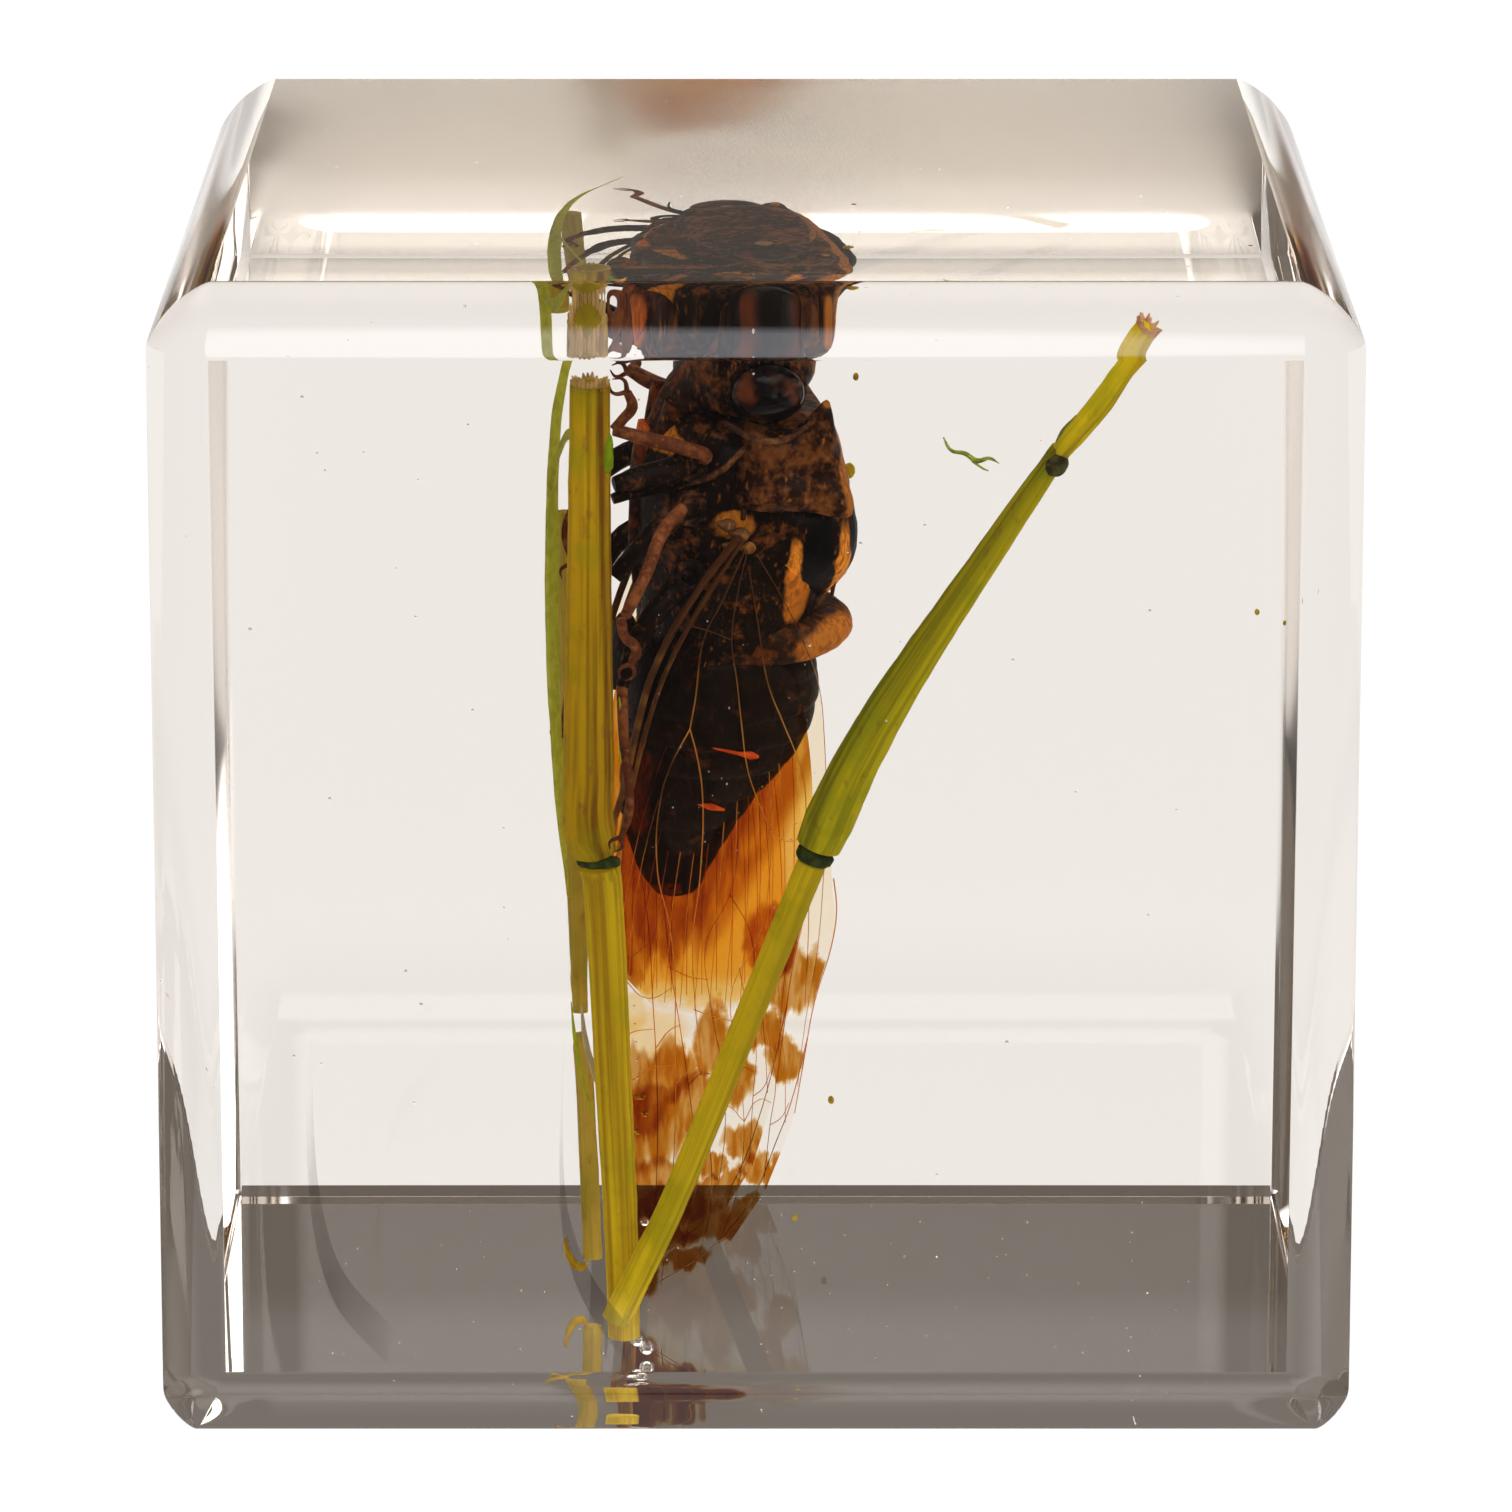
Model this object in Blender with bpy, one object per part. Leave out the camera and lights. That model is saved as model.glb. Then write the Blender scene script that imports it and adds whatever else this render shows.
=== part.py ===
"""Clear resin specimen block with rounded edges, cast round a dried insect and its perching stems.

The block is one solid casting. What is sealed inside it can't be reached or taken out, so this model
holds the outside of the casting only. +X is to the right, +Y to the back, +Z up, and the origin is at
the centre of the underside. All sizes are in metres.
"""

from math import radians

import bmesh
import bpy
from mathutils import Matrix

# Outer size of the casting.
WIDTH = 0.0450
DEPTH = 0.0450
HEIGHT = 0.0440

# Sanded and polished edges: a quarter round along each edge, a piece of a ball at each corner.
EDGE_RADIUS = 0.00245
EDGE_STEPS = 8
SMOOTH_ANGLE = radians(30.0)

# Water-clear casting resin with a faint warm cast.
RESIN_COLOUR = (0.93, 0.93, 0.90, 1.0)
RESIN_ROUGHNESS = 0.03
RESIN_IOR = 1.5
RESIN_TRANSMISSION = 0.9


def clear_scene() -> None:
    """Removes every object that the scene starts with."""
    for item in list(bpy.data.objects):
        bpy.data.objects.remove(item, do_unlink=True)


def clear_resin() -> bpy.types.Material:
    """Returns the casting's material."""
    material = bpy.data.materials.new("clear_resin")
    material.use_nodes = True
    shader = material.node_tree.nodes["Principled BSDF"]
    shader.inputs["Base Color"].default_value = RESIN_COLOUR
    shader.inputs["Roughness"].default_value = RESIN_ROUGHNESS
    shader.inputs["Metallic"].default_value = 0.0
    shader.inputs["IOR"].default_value = RESIN_IOR
    shader.inputs["Transmission Weight"].default_value = RESIN_TRANSMISSION
    return material


def cast_block() -> bpy.types.Object:
    """Returns the casting, standing on the ground plane with all its edges rounded."""
    shape = bmesh.new()
    size = Matrix.Diagonal((WIDTH, DEPTH, HEIGHT, 1.0))
    stand = Matrix.Translation((0.0, 0.0, HEIGHT / 2))
    bmesh.ops.create_cube(shape, size=1.0, matrix=stand @ size)
    mesh = bpy.data.meshes.new("resin_block")
    shape.to_mesh(mesh)
    shape.free()
    mesh.materials.append(clear_resin())
    mesh.shade_smooth()
    mesh.set_sharp_from_angle(angle=SMOOTH_ANGLE)

    block = bpy.data.objects.new("resin_block", mesh)
    bpy.context.scene.collection.objects.link(block)
    rounding = block.modifiers.new("rounded_edges", "BEVEL")
    rounding.width = EDGE_RADIUS
    rounding.segments = EDGE_STEPS
    rounding.limit_method = "NONE"
    rounding.use_clamp_overlap = True
    return block


clear_scene()
cast_block()
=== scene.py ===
"""Looks of an insect in a resin block: a winged singing bug and its grass stems, sealed in clear resin.

Every piece is modelled at the bench in millimetres, with bpy.ops, and then set into the casting,
which is in metres. The insect has a frame of its own: x runs from its belly to its back, y from
its left side to its right and z from its wing tips to its head.
"""

import logging
import math
import random
from collections.abc import Iterator
from contextlib import contextmanager
from dataclasses import dataclass
from enum import Enum

import bpy
from bpy.types import ColorRamp, Material, Node, NodeSocket, Object, World
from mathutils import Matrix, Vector


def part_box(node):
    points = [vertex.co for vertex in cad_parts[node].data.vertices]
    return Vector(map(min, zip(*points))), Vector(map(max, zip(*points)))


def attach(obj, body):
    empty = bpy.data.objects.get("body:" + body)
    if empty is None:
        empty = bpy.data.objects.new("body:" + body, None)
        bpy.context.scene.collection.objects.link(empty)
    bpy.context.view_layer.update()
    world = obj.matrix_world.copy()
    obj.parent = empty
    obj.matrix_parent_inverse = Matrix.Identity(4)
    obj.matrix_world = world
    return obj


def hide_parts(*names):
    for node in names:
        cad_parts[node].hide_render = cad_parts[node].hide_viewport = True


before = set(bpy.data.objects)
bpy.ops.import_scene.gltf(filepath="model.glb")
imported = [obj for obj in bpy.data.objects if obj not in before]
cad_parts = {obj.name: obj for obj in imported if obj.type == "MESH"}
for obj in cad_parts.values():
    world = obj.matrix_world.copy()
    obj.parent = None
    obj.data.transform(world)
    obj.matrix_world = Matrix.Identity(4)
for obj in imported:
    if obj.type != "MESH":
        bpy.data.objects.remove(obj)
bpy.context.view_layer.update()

BLOCK_LOW, BLOCK_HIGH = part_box("resin_block")
MM = 0.001
ROUND = 0.97

log = logging.getLogger("casting")

Point = tuple[float, float, float]
Colour = tuple[float, float, float]
Run = list[tuple[float, float, float, float]]
Source = Node | NodeSocket


class Slot(Enum):
    """Material slots of the record, one for each kind of piece."""

    RESIN = "clear_resin"
    SHELL = "insect_shell"
    WING = "insect_wing"
    STEM = "dried_stem"


class Side(Enum):
    """The insect's two sides, as the sign of its y axis."""

    LEFT = -1
    RIGHT = 1


# ---- placing


@dataclass(frozen=True)
class Placement:
    """Where a piece modelled at the bench goes in the casting.

    Attributes:
        origin: the bench's origin in the casting, in millimetres.
        lean: turn about the piece's own x axis, in degrees.
        yaw: turn about the upright, in degrees.
    """

    origin: Point = (0.0, 0.0, 0.0)
    lean: float = 0.0
    yaw: float = 0.0

    def turn(self) -> Point:
        """Returns the turn as Euler angles in radians."""
        return (math.radians(self.lean), 0.0, math.radians(self.yaw))

    def spot(self) -> Point:
        """Returns the origin in metres."""
        return tuple(c * MM for c in self.origin)


BLOCK_MID = tuple((BLOCK_LOW + BLOCK_HIGH) / 2 / MM)
IN_BLOCK = Placement((BLOCK_MID[0], BLOCK_MID[1], BLOCK_LOW.z / MM))
IN_INSECT = Placement(
    (BLOCK_MID[0] - 0.5, BLOCK_MID[1] - 5.2, BLOCK_LOW.z / MM + 32.85), lean=9.5, yaw=12.0
)


@dataclass(frozen=True)
class Home:
    """Where a kind of piece belongs.

    Attributes:
        place: its placement in the casting.
        slot: the record's slot that its finishes belong to.
        crease: the sharpest angle that is still shaded smooth, in degrees.
    """

    place: Placement
    slot: Slot
    crease: float = 60.0


BODY = Home(IN_INSECT, Slot.SHELL)
WINGS = Home(IN_INSECT, Slot.WING)
PLANT = Home(IN_BLOCK, Slot.STEM, crease=50.0)
SEALED = Home(IN_BLOCK, Slot.RESIN)


# ---- bench


@dataclass(frozen=True)
class Ring:
    """One cross-section of a lofted piece.

    Attributes:
        z: height of its middle.
        x: place of its middle along x.
        half_x: half its size along x.
        half_y: half its size along y.
        y: place of its middle along y.
        corner: how round it is, from 0, a rectangle, to nearly 1, an ellipse.
    """

    z: float
    x: float
    half_x: float
    half_y: float
    y: float = 0.0
    corner: float = ROUND


class Bench:
    """The modelling operators, gathered into the few steps that the pieces share."""

    @staticmethod
    def clear() -> None:
        """Leaves nothing selected."""
        if bpy.context.object and bpy.context.object.mode != "OBJECT":
            bpy.ops.object.mode_set(mode="OBJECT")
        bpy.ops.object.select_all(action="DESELECT")

    @staticmethod
    def hold(piece: Object) -> None:
        """Selects one piece alone and makes it active.

        Args:
            piece: the piece to hold.
        """
        Bench.clear()
        piece.select_set(True)
        bpy.context.view_layer.objects.active = piece

    @staticmethod
    def modify(piece: Object, kind: str, **settings: object) -> None:
        """Adds a modifier and applies it.

        Args:
            piece: the piece to change.
            kind: the modifier's type.
            settings: its settings.
        """
        Bench.hold(piece)
        step = piece.modifiers.new(kind.lower(), kind)
        for name, value in settings.items():
            setattr(step, name, value)
        bpy.ops.object.modifier_apply(modifier=step.name)

    @staticmethod
    def refine(piece: Object, levels: int = 1) -> None:
        """Rounds a piece by subdivision."""
        Bench.modify(piece, "SUBSURF", levels=levels, render_levels=levels)

    @staticmethod
    def roughen(piece: Object, size: float, depth: float) -> None:
        """Displaces a surface by soft lumps.

        Args:
            piece: the piece to change.
            size: the lumps' size in millimetres.
            depth: their height in millimetres.
        """
        lumps = bpy.data.textures.new(piece.name + "_lumps", "CLOUDS")
        lumps.noise_scale = size
        lumps.noise_depth = 2
        Bench.modify(piece, "DISPLACE", texture=lumps, strength=depth, texture_coords="LOCAL")

    @staticmethod
    @contextmanager
    def opened(piece: Object) -> Iterator[None]:
        """Opens a piece in edit mode with all of it selected, and closes it when the caller is done.

        Args:
            piece: the piece to open.

        Returns:
            A context in which edit-mode operators act on the piece.
        """
        Bench.hold(piece)
        bpy.ops.object.mode_set(mode="EDIT")
        bpy.ops.mesh.select_all(action="SELECT")
        yield
        bpy.ops.object.mode_set(mode="OBJECT")

    @staticmethod
    def let_go(piece: Object) -> None:
        """Leaves no part of a piece's mesh selected."""
        with Bench.opened(piece):
            bpy.ops.mesh.select_all(action="DESELECT")

    @staticmethod
    def close(piece: Object) -> None:
        """Merges a piece's doubles and turns its faces outwards.

        Args:
            piece: the piece to close.
        """
        with Bench.opened(piece):
            bpy.ops.mesh.remove_doubles(threshold=0.001)
            bpy.ops.mesh.normals_make_consistent(inside=False)

    @staticmethod
    def join(name: str, pieces: list[Object]) -> Object:
        """Joins several shapes into one piece.

        Args:
            name: the piece's name.
            pieces: the shapes, of which the first takes in the others.

        Returns:
            The joined piece.
        """
        Bench.clear()
        for piece in pieces:
            piece.select_set(True)
        bpy.context.view_layer.objects.active = pieces[0]
        if len(pieces) > 1:
            bpy.ops.object.join()
        pieces[0].name = name
        return pieces[0]

    @staticmethod
    def mirror(piece: Object, name: str) -> Object:
        """Copies a left-side piece, with its own mesh, and mirrors the copy to the right side.

        Args:
            piece: the left-side piece.
            name: the copy's name.

        Returns:
            The mirrored copy.
        """
        Bench.hold(piece)
        bpy.ops.object.duplicate(linked=False)
        other = bpy.context.object
        with Bench.opened(other):
            bpy.ops.transform.mirror(constraint_axis=(False, True, False), center_override=(0, 0, 0))
            bpy.ops.mesh.normals_make_consistent(inside=False)
        other.name = name
        return other

    @staticmethod
    def loft(name: str, rings: list[Ring], segments: int = 6) -> Object:
        """Makes a closed solid from cross-sections, bridged from one to the next.

        Args:
            name: the piece's name.
            rings: the cross-sections in order.
            segments: how many edges round each quarter.

        Returns:
            The solid.
        """
        Bench.clear()
        bpy.ops.mesh.primitive_plane_add(size=2, location=(0, 0, 0))
        piece = bpy.context.object
        bpy.ops.object.mode_set(mode="EDIT")
        bpy.ops.mesh.delete(type="VERT")
        for index, ring in enumerate(rings):
            middle = (ring.x, ring.y, ring.z)
            bpy.ops.mesh.primitive_plane_add(size=2, location=middle)
            bpy.ops.mesh.bevel(affect="VERTICES", offset=ring.corner, segments=segments)
            if 0 < index < len(rings) - 1:
                bpy.ops.mesh.delete(type="ONLY_FACE")
                Bench.pick_last(4 * (segments + 1))
            size = (ring.half_x, ring.half_y, 1)
            bpy.ops.transform.resize(value=size, center_override=middle)
        bpy.ops.mesh.select_all(action="SELECT")
        bpy.ops.mesh.bridge_edge_loops()
        bpy.ops.mesh.select_all(action="SELECT")
        bpy.ops.mesh.normals_make_consistent(inside=False)
        bpy.ops.object.mode_set(mode="OBJECT")
        piece.name = name
        return piece

    @staticmethod
    def pick_last(count: int) -> None:
        """Selects the newest vertices, in edit mode.

        Args:
            count: how many of them to select.
        """
        bpy.ops.mesh.select_all(action="DESELECT")
        bpy.ops.object.mode_set(mode="OBJECT")
        for vertex in bpy.context.object.data.vertices[-count:]:
            vertex.select = True
        bpy.ops.object.mode_set(mode="EDIT")

    @staticmethod
    def rod(name: str, runs: list[Run], sides: int = 3, steps: int = 6, flat: float = 0.0) -> Object:
        """Makes round rods, each along a smooth curve and with its own radii.

        Args:
            name: the piece's name.
            runs: for each rod its points and radii.
            sides: the bevel resolution round the rod.
            steps: the points along each stretch of curve.
            flat: for a flat blade, its thickness for each millimetre of width.

        Returns:
            The rods as one mesh, with a UV map round and along each.
        """
        Bench.clear()
        bpy.ops.curve.primitive_bezier_curve_add()
        curve = bpy.context.object
        curve.name = name
        data = curve.data
        data.dimensions = "3D"
        data.bevel_depth = flat or 1.0
        data.extrude = 1.0 - flat if flat else 0.0
        data.bevel_resolution = sides
        data.use_fill_caps = True
        data.resolution_u = steps
        data.splines.clear()
        for run in runs:
            spline = data.splines.new("BEZIER")
            spline.bezier_points.add(len(run) - 1)
            for knot, (x, y, z, radius) in zip(spline.bezier_points, run):
                knot.co = (x, y, z)
                knot.radius = radius
                knot.handle_left_type = knot.handle_right_type = "AUTO"
        bpy.ops.object.convert(target="MESH")
        piece = bpy.context.object
        Bench.close(piece)
        return piece

    @staticmethod
    def along(points: list | tuple, share: float) -> tuple[float, float]:
        """Finds a point on a smooth line through points.

        Args:
            points: what the line goes through.
            share: how far along it the point is, from 0 to 1.

        Returns:
            The point.
        """
        place = share * (len(points) - 1)
        index = min(int(place), len(points) - 2)
        t = place - index
        p0 = points[max(index - 1, 0)]
        p1, p2 = points[index], points[index + 1]
        p3 = points[min(index + 2, len(points) - 1)]
        return tuple(
            b + 0.5 * t * (c - a + t * (2 * a - 5 * b + 4 * c - d + t * (3 * b - a - 3 * c + d)))
            for a, b, c, d in zip(p0, p1, p2, p3)
        )

    @staticmethod
    def line(points: list[Point]) -> Object:
        """Makes a thin line, to bridge or extrude into a sheet.

        Args:
            points: what it goes through.

        Returns:
            The line, as a mesh of edges.
        """
        Bench.clear()
        bpy.ops.curve.primitive_nurbs_path_add()
        path = bpy.context.object.data
        path.splines.clear()
        line = path.splines.new("POLY")
        line.points.add(len(points) - 1)
        for knot, point in zip(line.points, points):
            knot.co = (*point, 1.0)
        bpy.ops.object.convert(target="MESH")
        return bpy.context.object

    @staticmethod
    def ball(name: str, middle: Point, radii: Point, turn: Point = (0, 0, 0)) -> Object:
        """Makes an ellipsoid to shape further.

        Args:
            name: the piece's name.
            middle: its middle.
            radii: its half sizes along its own axes.
            turn: its turn in degrees.

        Returns:
            The ellipsoid.
        """
        Bench.clear()
        bpy.ops.mesh.primitive_uv_sphere_add(segments=32, ring_count=20, radius=1)
        piece = bpy.context.object
        piece.name = name
        piece.scale = radii
        piece.rotation_euler = [math.radians(a) for a in turn]
        piece.location = middle
        bpy.ops.object.transform_apply(location=True, rotation=True, scale=True)
        return piece

    @staticmethod
    def pull(piece: Object, point: Point, move: Point, reach: float) -> None:
        """Draws the surface round one point outwards or inwards, falling off smoothly.

        Args:
            piece: the piece to change.
            point: where to take hold of it.
            move: how far the surface moves there.
            reach: how far round the point it gives.
        """
        spot = Vector(point)
        nearest = min(piece.data.vertices, key=lambda v: (v.co - spot).length).index
        Bench.let_go(piece)
        piece.data.vertices[nearest].select = True
        bpy.ops.object.mode_set(mode="EDIT")
        bpy.ops.transform.translate(
            value=move, use_proportional_edit=True, proportional_edit_falloff="SMOOTH",
            proportional_size=reach,
        )
        bpy.ops.object.mode_set(mode="OBJECT")

    @staticmethod
    def settle(
        piece: Object,
        home: Home,
        finish: Material,
        rounds: int = 0,
        lumps: tuple[float, float] | None = None,
        smooth: bool = True,
    ) -> None:
        """Finishes a piece at the bench, and moves it into the casting and dresses it there.

        Args:
            piece: the piece, in millimetres.
            home: where such a piece belongs.
            finish: its material.
            rounds: how many times it is subdivided.
            lumps: the size and the height of its soft lumps, in millimetres.
            smooth: False to leave its faces as they are.
        """
        if rounds:
            Bench.refine(piece, rounds)
        if lumps:
            Bench.roughen(piece, *lumps)
        Bench.hold(piece)
        if smooth:
            bpy.ops.object.shade_smooth_by_angle(angle=math.radians(home.crease))
        piece.scale = (MM, MM, MM)
        piece.rotation_euler = home.place.turn()
        piece.location = home.place.spot()
        bpy.ops.object.transform_apply(location=True, rotation=True, scale=True)
        Bench.dress(piece, finish, home.slot)

    @staticmethod
    def dress(piece: Object, finish: Material, slot: Slot) -> None:
        """Gives a piece its finish and fixes it to the casting.

        Args:
            piece: the piece, in its place.
            finish: its material.
            slot: the record's slot that the finish belongs to; not used.
        """
        piece.data.materials.clear()
        piece.data.materials.append(finish)
        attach(piece, "root")
        log.info("%s: %d faces", piece.name, len(piece.data.polygons))


# ---- shader maths


class Field:
    """A number that varies over a surface, with arithmetic that adds Math nodes."""

    def __init__(self, graph: "Graph", socket: NodeSocket) -> None:
        """Wraps a socket of a graph."""
        self.graph = graph
        self.socket = socket

    def math(self, operation: str, *others: "Field | float", clamp: bool = False) -> "Field":
        """Adds a Math node.

        Args:
            operation: the node's operation.
            others: what follows this value in its inputs.
            clamp: True to keep the result from 0 to 1.

        Returns:
            The result.
        """
        values = dict(enumerate([self, *others]))
        settings = {"operation": operation, "use_clamp": clamp}
        return self.graph.field(self.graph.add("ShaderNodeMath", settings, values))

    def __add__(self, other: "Field | float") -> "Field":
        """Returns the sum."""
        return self.math("ADD", other)

    __radd__ = __add__

    def __mul__(self, other: "Field | float") -> "Field":
        """Returns the product."""
        return self.math("MULTIPLY", other)

    __rmul__ = __mul__

    def __sub__(self, other: "Field | float") -> "Field":
        """Returns the difference."""
        return self.math("SUBTRACT", other)

    def __rsub__(self, other: float) -> "Field":
        """Returns a number less this value."""
        return self * -1.0 + other

    def __truediv__(self, other: "Field | float") -> "Field":
        """Returns the quotient."""
        return self.math("DIVIDE", other)

    def most(self, other: "Field | float") -> "Field":
        """Returns the larger of two values."""
        return self.math("MAXIMUM", other)

    def clamped(self) -> "Field":
        """Returns the value kept from 0 to 1."""
        return self.math("ADD", 0.0, clamp=True)

    def step(self, low: float, high: float) -> "Field":
        """Makes a soft step, rising or falling.

        Args:
            low: the value at which the step is 0.
            high: the value at which it is 1, which may be the lower number.

        Returns:
            The step, from 0 to 1.
        """
        if low > high:
            return 1.0 - self.step(high, low)
        settings = {"interpolation_type": "SMOOTHSTEP"}
        node = self.graph.add("ShaderNodeMapRange", settings, {0: self, 1: low, 2: high})
        return self.graph.field(node)


class Graph:
    """The node tree of one finish, or of the surroundings."""

    def __init__(self, name: str, world: World | None = None) -> None:
        """Starts a tree with only its output node.

        Args:
            name: the new material's name.
            world: the surroundings to dress in place of a material.
        """
        self.owner = world or bpy.data.materials.new(name)
        self.owner.use_nodes = True
        self.tree = self.owner.node_tree
        self.tree.nodes.clear()
        self.output = self.add("ShaderNodeOutputWorld" if world else "ShaderNodeOutputMaterial")

    def add(self, kind: str, settings: dict | None = None, values: dict | None = None) -> Node:
        """Adds any node.

        Args:
            kind: the node's type.
            settings: its properties, with a ramp's stops under "stops".
            values: for each socket, by name or number, a value, a Field, a node or a socket.

        Returns:
            The node.
        """
        node = self.tree.nodes.new(kind)
        for name, value in (settings or {}).items():
            if name == "stops":
                self.set_stops(node.color_ramp, value)
            else:
                setattr(node, name, value)
        for key, value in (values or {}).items():
            socket = node.inputs[key]
            if isinstance(value, Field):
                self.tree.links.new(value.socket, socket)
            elif isinstance(value, NodeSocket):
                self.tree.links.new(value, socket)
            elif isinstance(value, Node):
                self.tree.links.new(value.outputs[0], socket)
            elif isinstance(value, tuple) and socket.type == "RGBA":
                socket.default_value = (*value, 1.0)
            else:
                socket.default_value = value
        return node

    @staticmethod
    def set_stops(ramp: ColorRamp, stops: list[tuple[float, Colour]]) -> None:
        """Sets a colour ramp's stops.

        Args:
            ramp: the ramp.
            stops: each stop's place and colour.
        """
        while len(ramp.elements) < len(stops):
            ramp.elements.new(1.0)
        for element, (position, colour) in zip(ramp.elements, stops):
            element.position = position
            element.color = (*colour, 1.0)

    def field(self, node: Node, output: int | str = 0) -> Field:
        """Returns one output of a node as a value to calculate with."""
        return Field(self, node.outputs[output])

    def local(self, place: Placement) -> Node:
        """Turns Object coordinates into a placement's own frame, in millimetres.

        Args:
            place: the placement.

        Returns:
            The Mapping node that gives them.
        """
        coordinates = self.add("ShaderNodeTexCoord")
        values = {
            "Vector": coordinates.outputs["Object"], "Location": place.spot(), "Rotation": place.turn(),
            "Scale": (MM, MM, MM),
        }
        return self.add("ShaderNodeMapping", {"vector_type": "TEXTURE"}, values)

    def stretched(self, source: Source, scale: Point) -> Node:
        """Returns coordinates multiplied by a scale for each axis."""
        return self.add("ShaderNodeMapping", None, {"Vector": source, "Scale": scale})

    def axes(self, source: Source) -> tuple[Field, Field, Field]:
        """Returns a vector's three parts."""
        node = self.add("ShaderNodeSeparateXYZ", None, {0: source})
        return self.field(node, 0), self.field(node, 1), self.field(node, 2)

    def noise(self, source: Source, scale: float, detail: float = 3.0) -> Field:
        """Returns soft noise from 0 to 1.

        Args:
            source: the coordinates.
            scale: cells for each unit of them.
            detail: how much fine noise is added.

        Returns:
            The noise.
        """
        values = {"Vector": source, "Scale": scale, "Detail": detail}
        return self.field(self.add("ShaderNodeTexNoise", None, values))

    def mix(self, factor: Field | float, first: object, second: object) -> NodeSocket:
        """Returns a blend of two colours, each given or linked."""
        node = self.add("ShaderNodeMix", {"data_type": "RGBA"}, {0: factor, 6: first, 7: second})
        return node.outputs[2]

    def blend(self, factor: Field | float, first: Node, second: Node) -> Node:
        """Returns a blend of two shaders."""
        return self.add("ShaderNodeMixShader", None, {0: factor, 1: first, 2: second})

    def bump(self, height: Field, strength: float, distance: float) -> Node:
        """Returns a Bump node over a height field, its distance in metres."""
        values = {"Strength": strength, "Distance": distance, "Height": height}
        return self.add("ShaderNodeBump", None, values)

    def spots(self, u: Field, z: Field, marks: tuple, soft: float = 0.5) -> Field:
        """Makes a mask of oval marks.

        Args:
            u: the coordinate across.
            z: the coordinate along.
            marks: for each its middle across and along, and its half sizes.
            soft: how much of each mark its soft edge takes.

        Returns:
            The mask, 1 on the marks.
        """
        mask = None
        for middle_u, middle_z, half_u, half_z in marks:
            across = (u - middle_u) / half_u
            along = (z - middle_z) / half_z
            near = (across * across + along * along).step(1.0 + soft, 1.0 - soft)
            mask = near if mask is None else mask.most(near)
        return mask

    def finish(self, surface: Node) -> Material:
        """Links the surface to the output and returns the material."""
        self.tree.links.new(surface.outputs[0], self.output.inputs["Surface"])
        return self.owner


# ---- finishes


@dataclass(frozen=True)
class ClearResin:
    """Cast resin, clear with a faint warm tint that deepens with thickness.

    Attributes:
        ior: its index of refraction.
        tint: the colour that light keeps as it goes through.
        density: how fast the tint deepens, for each metre.
        rear_blur: the roughness of the rear face above the foot.
        edge_blur: the roughness of the upper side edges.
    """

    ior: float = 1.5
    tint: Colour = (0.925, 0.899, 0.872)
    density: float = 40.0
    rear_blur: float = 0.18
    edge_blur: float = 0.12

    def make(self) -> Material:
        """Makes the material, polished in front and less finely behind and on the upper side edges.

        Returns:
            The material.
        """
        graph = Graph("clear_resin")
        coordinates = graph.add("ShaderNodeTexCoord")
        x, y, z = graph.axes(coordinates.outputs["Object"])
        aside, back, high = (x / BLOCK_HIGH.x).math("ABSOLUTE"), y / BLOCK_HIGH.y, z / BLOCK_HIGH.z
        rear = back.step(0.993, 0.999) * high.step(0.165, 0.27)
        brow = aside.step(0.895, 0.93) * high.step(0.945, 0.965) * back.step(-0.9, -0.7)
        values = {
            "Base Color": (1.0, 1.0, 1.0),
            "Roughness": (rear * self.rear_blur).most(brow * self.edge_blur), "IOR": self.ior,
            "Transmission Weight": 1.0,
        }
        surface = graph.add("ShaderNodeBsdfPrincipled", None, values)
        depth = graph.add("ShaderNodeVolumeAbsorption", None, {"Color": self.tint, "Density": self.density})
        graph.tree.links.new(depth.outputs[0], graph.output.inputs["Volume"])
        return graph.finish(surface)


@dataclass(frozen=True)
class AirPocket:
    """Air in the resin, whose index is below the resin's, so that a bubble shines like silver.

    Attributes:
        ior: its index of refraction against the resin's.
    """

    ior: float = 1.0 / 1.5

    def make(self) -> Material:
        """Makes the material.

        Returns:
            The material.
        """
        graph = Graph("air_pocket")
        values = {
            "Base Color": (1.0, 1.0, 1.0), "Roughness": 0.0, "IOR": self.ior, "Transmission Weight": 1.0,
        }
        return graph.finish(graph.add("ShaderNodeBsdfPrincipled", None, values))


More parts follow.
